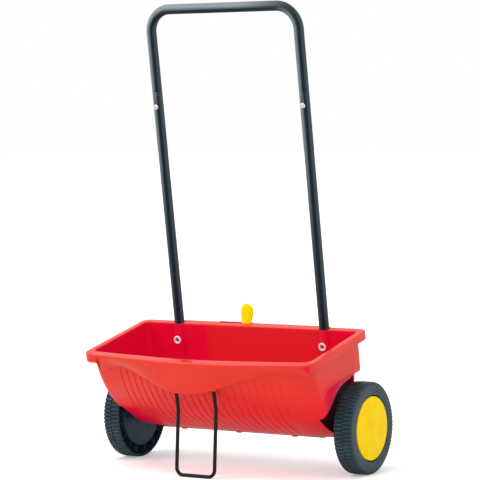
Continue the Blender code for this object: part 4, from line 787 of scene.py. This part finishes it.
BACK_WASHER, LOW_NUT, JOINT_NUT = 0.0012, 0.0050, 0.0048
behind = TUBE_RADIUS + GAP
for side, name in ((-1, "left"), (1, "right")):
    low = (side * HANDLE_X, 0, -BOLT_DROP)
    high = (side * HANDLE_X, 0, joint_z)

    face = -(SLEEVE + 0.002) - GAP
    washer = [(face, 0.0040), (face, 0.0090), (face - 0.0007, 0.0094), (face - 0.0015, 0.0092),
              (face - 0.0022, 0.0083), (face - 0.0025, 0.0070), (face - 0.0024, 0.0059),
              (face - 0.0019, 0.0052), (face - 0.0008, 0.0048)]
    placed(body(turned(washer, low, 64, True)), "washer_" + name, nylon, "frame",
           "hopper_washer_" + name, place=HANDLE_PLACE)

    seat = face - 0.0002
    end = behind + BACK_WASHER + GAP + LOW_NUT + 0.002
    bolt = [(seat + 0.0006, 0.0001), (seat + 0.0006, 0.0022), (seat - 0.0010, 0.0024),
            (seat - 0.0012, 0.0028), (seat - 0.0011, 0.0033), (seat - 0.0008, 0.0036),
            (seat - 0.0002, 0.0038), (seat, 0.0037), (seat, 0.0030), (end - 0.0006, 0.0030),
            (end, 0.0024), (end, 0.0001)]
    placed(body(turned(bolt, low)), "tube_bolt_" + name, phosphate, "frame",
           "hopper_bolt_" + name, place=HANDLE_PLACE)

    seat = -behind
    end = behind + JOINT_NUT + 0.0012
    dome = [(seat - 0.0035 * math.sin(t), 0.00625 * math.cos(t) + 1e-5)
            for t in np.linspace(math.pi / 2, 0.25, 10)]
    dome += [(seat - 0.0003, 0.00625), (seat, 0.0060), (seat, 0.0025), (end - 0.0005, 0.0025), (end, 0.0020),
             (end, 1e-5)]
    placed(body(turned(dome, high)), "joint_dome_" + name, zinc, "frame",
           "joint_bolt_" + name, place=HANDLE_PLACE)

    hexagon = [(0.0, 0.0048), (0.0004, 0.0052), (0.0044, 0.0052), (0.0048, 0.0047), (0.0048, 0.0026),
               (0.0, 0.0026)]
    nut = [(behind + y, r) for y, r in hexagon]
    placed(body(turned(nut, high, 6, True)), "joint_hex_" + name, zinc, "frame",
           "joint_nut_" + name, place=HANDLE_PLACE)

    shim = [(behind, 0.0034), (behind, 0.0080), (behind + BACK_WASHER, 0.0080),
            (behind + BACK_WASHER, 0.0034)]
    placed(body(turned(shim, low, 48, True)), "back_washer_" + name, zinc, "frame",
           "hopper_back_washer_" + name, place=HANDLE_PLACE)

    hexagon = [(0.0, 0.0053), (0.0004, 0.0057), (0.0046, 0.0057), (0.0050, 0.0052), (0.0050, 0.0031),
               (0.0, 0.0031)]
    nut = [(behind + BACK_WASHER + GAP + y, r) for y, r in hexagon]
    placed(body(turned(nut, low, 6, True)), "back_hex_" + name, zinc, "frame",
           "hopper_nut_" + name, place=HANDLE_PLACE)


# Dosing lever: a flat yellow moulding on a shoulder screw, with a rounded paddle above the rim and a round
# peg at its foot that moves the slide. It leans towards the driven wheel when it is shut.
SWING = math.radians(26)
TRAVEL = 0.0285
PEG_ARM = TRAVEL / 2 / math.sin(SWING / 2)
LEVER_PIVOT = Matrix.Translation((LEVER_X, LEVER_Y, LEVER_Z))
LEVER_PLACE = TROUGH_PLACE @ LEVER_PIVOT @ Matrix.Rotation(SWING / 2, 4, "Y")
rim_at = (RIM_HEIGHT - LEVER_Z) / math.cos(SWING / 2)
half_widths = np.array([(-PEG_ARM - 0.007, 0.0005), (-PEG_ARM - 0.0066, 0.0025), (-PEG_ARM - 0.005, 0.0049),
                        (-PEG_ARM, 0.007), (-0.0150, 0.0070), (-0.0090, 0.0094), (0.0, 0.0130),
                        (0.0080, 0.0102), (0.0150, 0.0080), (rim_at - 0.030, 0.0080), (rim_at, 0.0105),
                        (rim_at + 0.012, 0.0135), (rim_at + 0.024, 0.0150), (0.1540, 0.0149),
                        (0.1590, 0.0133), (0.1630, 0.0103), (0.1660, 0.0062), (0.1672, 0.0030),
                        (0.1675, 0.0005)])
right_side = half_widths[:, ::-1]
loop = np.vstack([right_side, right_side[::-1] * (-1, 1)])
rows = []
for depth, inset in ((-0.0022, 0.0011), (-0.0020, 0.0005), (-0.0015, 0.0001), (-0.0011, 0.0), (0.0011, 0.0),
                     (0.0015, 0.0001), (0.0020, 0.0005), (0.0022, 0.0011)):
    pulled = drawn_in(loop, inset)
    rows.append(np.column_stack([pulled[:, 0], np.full(len(loop), depth), pulled[:, 1]]))
lever = worked(body(skin(rows)), "UNION", body(rod((0, -0.0058, -PEG_ARM), (0, 0, -PEG_ARM), 0.003)))
lever = worked(lever, "DIFFERENCE", body(rod((0, -0.01, 0), (0, 0.01, 0), BOLT_HOLE, 32)))

# Yellow polypropylene: a warm batch for the wheel caps and a lemon one for the lever, both with a dull skin
# in which the pigment lies a little unevenly.
yellows = []
for name, base, weak, strong in (("lemon_yellow_polypropylene", "#FCF400", "#FAEE00", "#FDF808"),
                                 ("warm_yellow_polypropylene", "#FCD200", "#FACD00", "#FDD800")):
    yellow = finish(name, base, 0.42, IOR=1.49, Specular_IOR_Level=0.06)
    at = add(yellow, "ShaderNodeTexCoord", {}, {}).outputs["Object"]
    flow = add(yellow, "ShaderNodeTexNoise", {"Scale": 26.0, "Detail": 3.0}, {"Vector": at})
    tint = add(yellow, "ShaderNodeValToRGB", {"ends": [(0.35, weak), (0.65, strong)]},
               {"Fac": flow.outputs["Fac"]})
    grain = add(yellow, "ShaderNodeTexNoise", {"Scale": 1100.0, "Detail": 2.0}, {"Vector": at})
    relief = add(yellow, "ShaderNodeBump", {"Strength": 0.06, "Distance": 0.0002},
                 {"Height": grain.outputs["Fac"]})
    drive(yellow, Base_Color=tint.outputs["Color"], Normal=relief.outputs["Normal"])
    yellows.append(yellow)
lemon, warm_yellow = yellows
placed(lever, "lever_paddle", lemon, "lever", "dosing_lever", 40.0, LEVER_PLACE)


# Wheels: black polypropylene mouldings with two rows of cross lugs, half a lug apart, on either side of a
# thin centre line. Behind, sixteen ribs join the tread to the drum. The right one is pinned to the axle.
WHEEL_INNER, WHEEL_OUTER = 0.2735, 0.3149
CENTRE_X = (WHEEL_INNER + WHEEL_OUTER) / 2
HUB_INNER = 0.2466
LUGS = 70
LUG_HEIGHT = 0.0028
fractions = np.array([0.0, 0.12, 0.20, 0.30, 0.38, 0.50, 0.62, 0.70, 0.80, 0.88])
phase = (np.arange(LUGS)[:, None] + fractions).ravel() / LUGS
ray_y, ray_z = np.sin(2 * math.pi * phase), -np.cos(2 * math.pi * phase)


def lug_relief(shift):
    """Depth of the grooves round the tread, by the distance from a groove's middle as a share of a lug's
    pitch: full within 0.05, nothing beyond 0.27."""
    off = np.abs((phase * LUGS + shift + 0.5) % 1.0 - 0.5)
    return 1 - smooth(0.05, 0.27, off)


def wheel_rows(side):
    """Rings about the axle as radius over a profile. The tread's rings are cut by the lug relief, each with
    its shares of the first and of the second row of lugs. A share of 2 marks the centre line, which is cut
    to 0.7 of a lug all round."""
    web = WHEEL_INNER + 0.002
    hollow_x = WHEEL_OUTER - 0.004
    seat = WHEEL_OUTER - 0.009
    hub_outer = 0.300
    plain = [(HUB_INNER, 0.0053), (HUB_INNER, 0.0136), (HUB_INNER + 0.0004, 0.0140), (web + 0.0012, 0.0140),
             (web + 0.0016, 0.0150), (web + 0.0018, 0.0300), (web + 0.0012, 0.0420), (web + 0.0011, 0.0440),
             (web + 0.0004, 0.0450), (web + 0.0002, 0.0600), (web, 0.0715), (web, 0.0728),
             (web + 0.0005, 0.0735), (hollow_x, 0.0745), (hollow_x, 0.0930), (WHEEL_INNER + 0.0006, 0.0950),
             (WHEEL_INNER, 0.0954), (WHEEL_INNER, 0.0960)]
    tread = [(WHEEL_INNER, 0.0974, 0.5, 0), (WHEEL_INNER + 0.0006, 0.0988, 1, 0),
             (WHEEL_INNER + 0.0014, 0.0995, 1, 0), (WHEEL_INNER + 0.006, 0.0998, 1, 0),
             (CENTRE_X - 0.006, 0.1000, 1, 0), (CENTRE_X - 0.0009, 0.1000, 1, 0),
             (CENTRE_X - 0.0004, 0.1000, 2, 2), (CENTRE_X + 0.0004, 0.1000, 2, 2),
             (CENTRE_X + 0.0009, 0.1000, 0, 1), (CENTRE_X + 0.006, 0.1000, 0, 1),
             (WHEEL_OUTER - 0.006, 0.0998, 0, 1), (WHEEL_OUTER - 0.0036, 0.0993, 0, 1),
             (WHEEL_OUTER - 0.0019, 0.0983, 0, 1), (WHEEL_OUTER - 0.0007, 0.0967, 0, 0.9),
             (WHEEL_OUTER, 0.0947, 0, 0.5)]
    face = [(WHEEL_OUTER, 0.0900), (WHEEL_OUTER, 0.0730), (WHEEL_OUTER - 0.0002, 0.0720),
            (WHEEL_OUTER - 0.0008, 0.0716), (seat, 0.0712), (seat, 0.0650), (web + 0.003, 0.0650),
            (web + 0.003, 0.0120), (hub_outer, 0.0120), (hub_outer, 0.0053)]
    first, second = lug_relief(0.0), lug_relief(0.5)
    rows = [(x, np.full(len(phase), r)) for x, r in plain]
    for x, r, a, b in tread:
        cut = np.full(len(phase), 0.7) if a == 2 else a * first + b * second
        rows.append((x, r - LUG_HEIGHT * cut))
    rows += [(x, np.full(len(phase), r)) for x, r in face]
    return [np.column_stack([np.full(len(phase), side * x), r * ray_y, r * ray_z]) for x, r in rows]


# Black polypropylene: dark slate with a satin skin. Fine scuffs from paving lift its shine in patches.
black = finish("black_polypropylene_wheel", "#26343C", 0.38, IOR=1.49, Specular_IOR_Level=0.20)
at = add(black, "ShaderNodeTexCoord", {}, {}).outputs["Object"]
scuff = add(black, "ShaderNodeTexNoise", {"Scale": 45.0, "Detail": 5.0, "Roughness": 0.6}, {"Vector": at})
tint = add(black, "ShaderNodeValToRGB", {"ends": [(0.35, "#22343D"), (0.7, "#2C414A")]},
           {"Fac": scuff.outputs["Fac"]})
gloss = add(black, "ShaderNodeMapRange", {"To Min": 0.26, "To Max": 0.42}, {"Value": scuff.outputs["Fac"]})
grain = add(black, "ShaderNodeTexNoise", {"Scale": 1000.0, "Detail": 2.0}, {"Vector": at})
relief = add(black, "ShaderNodeBump", {"Strength": 0.08, "Distance": 0.0002},
             {"Height": grain.outputs["Fac"]})
drive(black, Base_Color=tint.outputs["Color"], Roughness=gloss.outputs["Result"],
      Normal=relief.outputs["Normal"])

# Painted shade: the side that faces the trough takes a duller, darker, bluer copy of the black.
shade_black = black.copy()
shade_black.name = "painted_shade_black_polypropylene"
shade_black.node_tree.nodes["Principled BSDF"].inputs["Specular IOR Level"].default_value = 0.10
for end, code in zip(shade_black.node_tree.nodes["Color Ramp"].color_ramp.elements, ("#1D303E", "#273E4E")):
    end.color = linear(code)

RIBS, RIB_HALF, PIN_HOLE = 16, 0.0007, 0.0023
CAP_INNER, CAP_RADIUS, CAP_BEND, CAP_WALL, CAP_RISE = 0.0670, 0.0679, 0.0009, 0.0018, 0.0018
for side, name in ((-1, "left"), (1, "right")):
    rider = "axle" if side > 0 else "free_wheel"
    wheel = body(skin(wheel_rows(side), True))
    ribs = []
    for i in range(RIBS):
        turn = Matrix.Rotation(2 * math.pi * (i + 0.5) / RIBS, 4, "X")
        low, high = sorted((side * (WHEEL_INNER + 0.004), side * (WHEEL_OUTER - 0.002)))
        ribs.append(body(in_place(block((low, 0.0715, -RIB_HALF), (high, 0.0948, RIB_HALF)), turn)))
    wheel = worked(wheel, "UNION", *ribs)
    if side > 0:
        pin_x = (HUB_INNER + WHEEL_INNER) / 2
        wheel = worked(wheel, "DIFFERENCE", body(rod((pin_x, 0, -0.03), (pin_x, 0, 0.03), PIN_HOLE, 24)))
    placed(wheel, "lugged_wheel_" + name, black, rider, "wheel_" + name, 32.0,
           AXLE_PLACE)
    wheel.data.materials.append(shade_black)
    x, y, z = read(wheel.data.polygons, "center")
    # Painted shade: faces inside the tread's radius and behind the outer face take the darker copy.
    behind = (np.hypot(y - AXLE.y, z - AXLE.z) < 0.0952) & (side * x < WHEEL_OUTER - 0.0035)
    wheel.data.polygons.foreach_set("material_index", behind.astype(np.int32))

    face = WHEEL_OUTER - GAP
    dome = [(WHEEL_OUTER - 0.0087, CAP_INNER), (WHEEL_OUTER - 0.0087, CAP_RADIUS + CAP_BEND)]
    dome += [(face - 0.0002 + CAP_BEND * math.sin(t), CAP_RADIUS + CAP_BEND * math.cos(t))
             for t in np.linspace(0, math.pi / 2, 5)]
    dome += [(face + 0.0007 + CAP_RISE * (1 - (r / CAP_RADIUS) ** 2), r)
             for r in (0.065, 0.057, 0.046, 0.032, 0.018, 0.006, 0.0001)]
    under = [(x - CAP_WALL, min(r, CAP_INNER)) for x, r in dome[:3:-1]]
    ring_y, ring_z = disc(1.0, 128).T
    rows = [np.column_stack([np.full(128, side * x), r * ring_y, r * ring_z]) for x, r in dome + under]
    placed(body(skin(rows, True)), "wheel_cap_" + name, warm_yellow, rider,
           "hub_cap_" + name, place=AXLE_PLACE)


# Stand: one 8 mm steel wire bent into a foot, whose two ends plug in behind the apron. It is dipped in black
# paint. The foot lies on the ground, so its place follows from the trough's pitch.
ahead, below = -0.213, WIRE_RADIUS - WHEEL_RADIUS
foot = (ahead * math.cos(PITCH) + below * math.sin(PITCH), -ahead * math.sin(PITCH) + below * math.cos(PITCH))
leg = [(-STAND_X, *STAND_TOP), (-STAND_X, STAND_TOP[0], STAND_TOP[1] - 0.0005)]
leg += bent((-STAND_X, *STAND_TOP), (-STAND_X, *STAND_KINK), (-STAND_X, *foot), 0.012, 8)
leg += bent((-STAND_X, *STAND_KINK), (-STAND_X, *foot), (STAND_X, *foot), 0.0155, 14)
path = np.array(leg + [(-x, y, z) for x, y, z in leg[::-1]])
radii = np.full(len(path), WIRE_RADIUS)
radii[[0, -1]] = WIRE_RADIUS - 0.0006
wire = pipe(path, radii, np.array([0, math.cos(PITCH), -math.sin(PITCH)]), 32)

# The wire's paint is a glossier, deeper black than the tubes' coat.
dip = coat.copy()
dip.name = "black_dip_paint"
dip.node_tree.nodes["Principled BSDF"].inputs["Specular IOR Level"].default_value = 0.22
dip.node_tree.nodes["Mix"].inputs[6].default_value = linear("#05090C")
placed(body(skin(wire)), "stand_bent_wire", dip, "frame", "stand_wire",
       place=TROUGH_PLACE)


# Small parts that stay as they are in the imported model: only their finish is given here. Steel parts are zinc
# plated, the stars and the slide are moulded, and the bushes are natural acetal.

# Natural acetal: milky white and turned smooth, with an even, soft shine.
acetal = finish("natural_acetal", "#ECEAE2", 0.36, IOR=1.48)
at = add(acetal, "ShaderNodeTexCoord", {}, {}).outputs["Object"]
cloud = add(acetal, "ShaderNodeTexNoise", {"Scale": 200.0, "Detail": 2.0}, {"Vector": at})
gloss = add(acetal, "ShaderNodeMapRange", {"To Min": 0.30, "To Max": 0.42}, {"Value": cloud.outputs["Fac"]})
drive(acetal, Roughness=gloss.outputs["Result"])

# Dark polypropylene: a brownish near black, moulded with a dull skin.
dark = finish("dark_polypropylene", "#34312F", 0.48, IOR=1.49)
at = add(dark, "ShaderNodeTexCoord", {}, {}).outputs["Object"]
flow = add(dark, "ShaderNodeTexNoise", {"Scale": 60.0, "Detail": 4.0}, {"Vector": at})
gloss = add(dark, "ShaderNodeMapRange", {"To Min": 0.40, "To Max": 0.58}, {"Value": flow.outputs["Fac"]})
drive(dark, Roughness=gloss.outputs["Result"])

kept = {zinc: ["agitator_axle", "drive_pin", "lever_front_washer", "lever_back_washer", "lever_pivot_screw",
               "axle_spacer_left", "axle_spacer_right", "wheel_clip_left", "wheel_clip_right"],
        acetal: ["axle_bush_left", "axle_bush_right"],
        dark: ["metering_slide"],
        black: ["agitator_star_%d" % i for i in range(1, 7)]}
for material, names in kept.items():
    for name in names:
        nodes[name].data.materials.clear()
        nodes[name].data.materials.append(material)


# Studio: a wide white floor, three large soft lights from the front left, the right and above, and white all
# round. The camera stands to the right of the front and looks down by three degrees, as in the photograph.
floor = body(skin([np.column_stack([disc(40.0, 64), np.full(64, z)]) for z in (-0.02, 0.0)]))
white = finish("white_studio_floor", "#F2F2F2", 0.9)
white.node_tree.nodes["Principled BSDF"].inputs["Emission Color"].default_value = (1, 1, 1, 1)
ray = add(white, "ShaderNodeLightPath", {}, {})
lift = add(white, "ShaderNodeMath", {"operation": "MULTIPLY", 1: 0.30}, {0: ray.outputs["Is Camera Ray"]})
drive(white, Emission_Strength=lift.outputs["Value"])
floor.name = "studio_floor"
floor.data.materials.append(white)

AZIMUTH, ELEVATION, ROLL = (math.radians(angle) for angle in (30.9955, 3.1401, 0.5080))
right = Vector((math.cos(AZIMUTH), math.sin(AZIMUTH), 0))
up = Vector((-math.sin(AZIMUTH) * math.sin(ELEVATION), math.cos(AZIMUTH) * math.sin(ELEVATION),
             math.cos(ELEVATION)))
lens = bpy.data.cameras.new("camera")
lens.sensor_width, lens.lens = 36, 178.017
lens.clip_end = 100
camera = bpy.data.objects.new("camera", lens)
rolled_right = math.cos(ROLL) * right - math.sin(ROLL) * up
rolled_up = math.sin(ROLL) * right + math.cos(ROLL) * up
axes = Matrix((rolled_right, rolled_up, right.cross(up))).transposed()
camera.matrix_world = Matrix.Translation((2.6785, -4.4781 + AXLE.y, 0.7841)) @ axes.to_4x4()
bpy.context.scene.collection.objects.link(camera)
bpy.context.scene.camera = camera

sky = bpy.data.worlds.new("studio_white")
sky.use_nodes = True
glow = sky.node_tree.nodes["Background"]
glow.inputs["Color"].default_value = (1, 1, 1, 1)
ray = add(sky, "ShaderNodeLightPath", {}, {})
shown = add(sky, "ShaderNodeMath", {"operation": "MAXIMUM"},
            {0: ray.outputs["Is Camera Ray"], 1: ray.outputs["Is Glossy Ray"]})
level = add(sky, "ShaderNodeMapRange", {"To Min": 0.70, "To Max": 1.0}, {"Value": shown.outputs["Value"]})
sky.node_tree.links.new(level.outputs["Result"], glow.inputs["Strength"])
bpy.context.scene.world = sky
for name, towards, spread, power in (("key_softbox", (-0.50, -0.62, 0.60), 22, 0.82),
                                     ("fill_softbox", (0.78, -0.52, 0.34), 45, 0.45),
                                     ("top_softbox", (-0.10, -0.30, 1.0), 26, 1.0)):
    lamp = bpy.data.lights.new(name, "SUN")
    lamp.angle, lamp.energy = math.radians(spread), power
    holder = bpy.data.objects.new(name, lamp)
    holder.matrix_world = Vector(towards).to_track_quat("Z", "Y").to_matrix().to_4x4()
    bpy.context.scene.collection.objects.link(holder)
bpy.context.scene.view_settings.view_transform = "Standard"
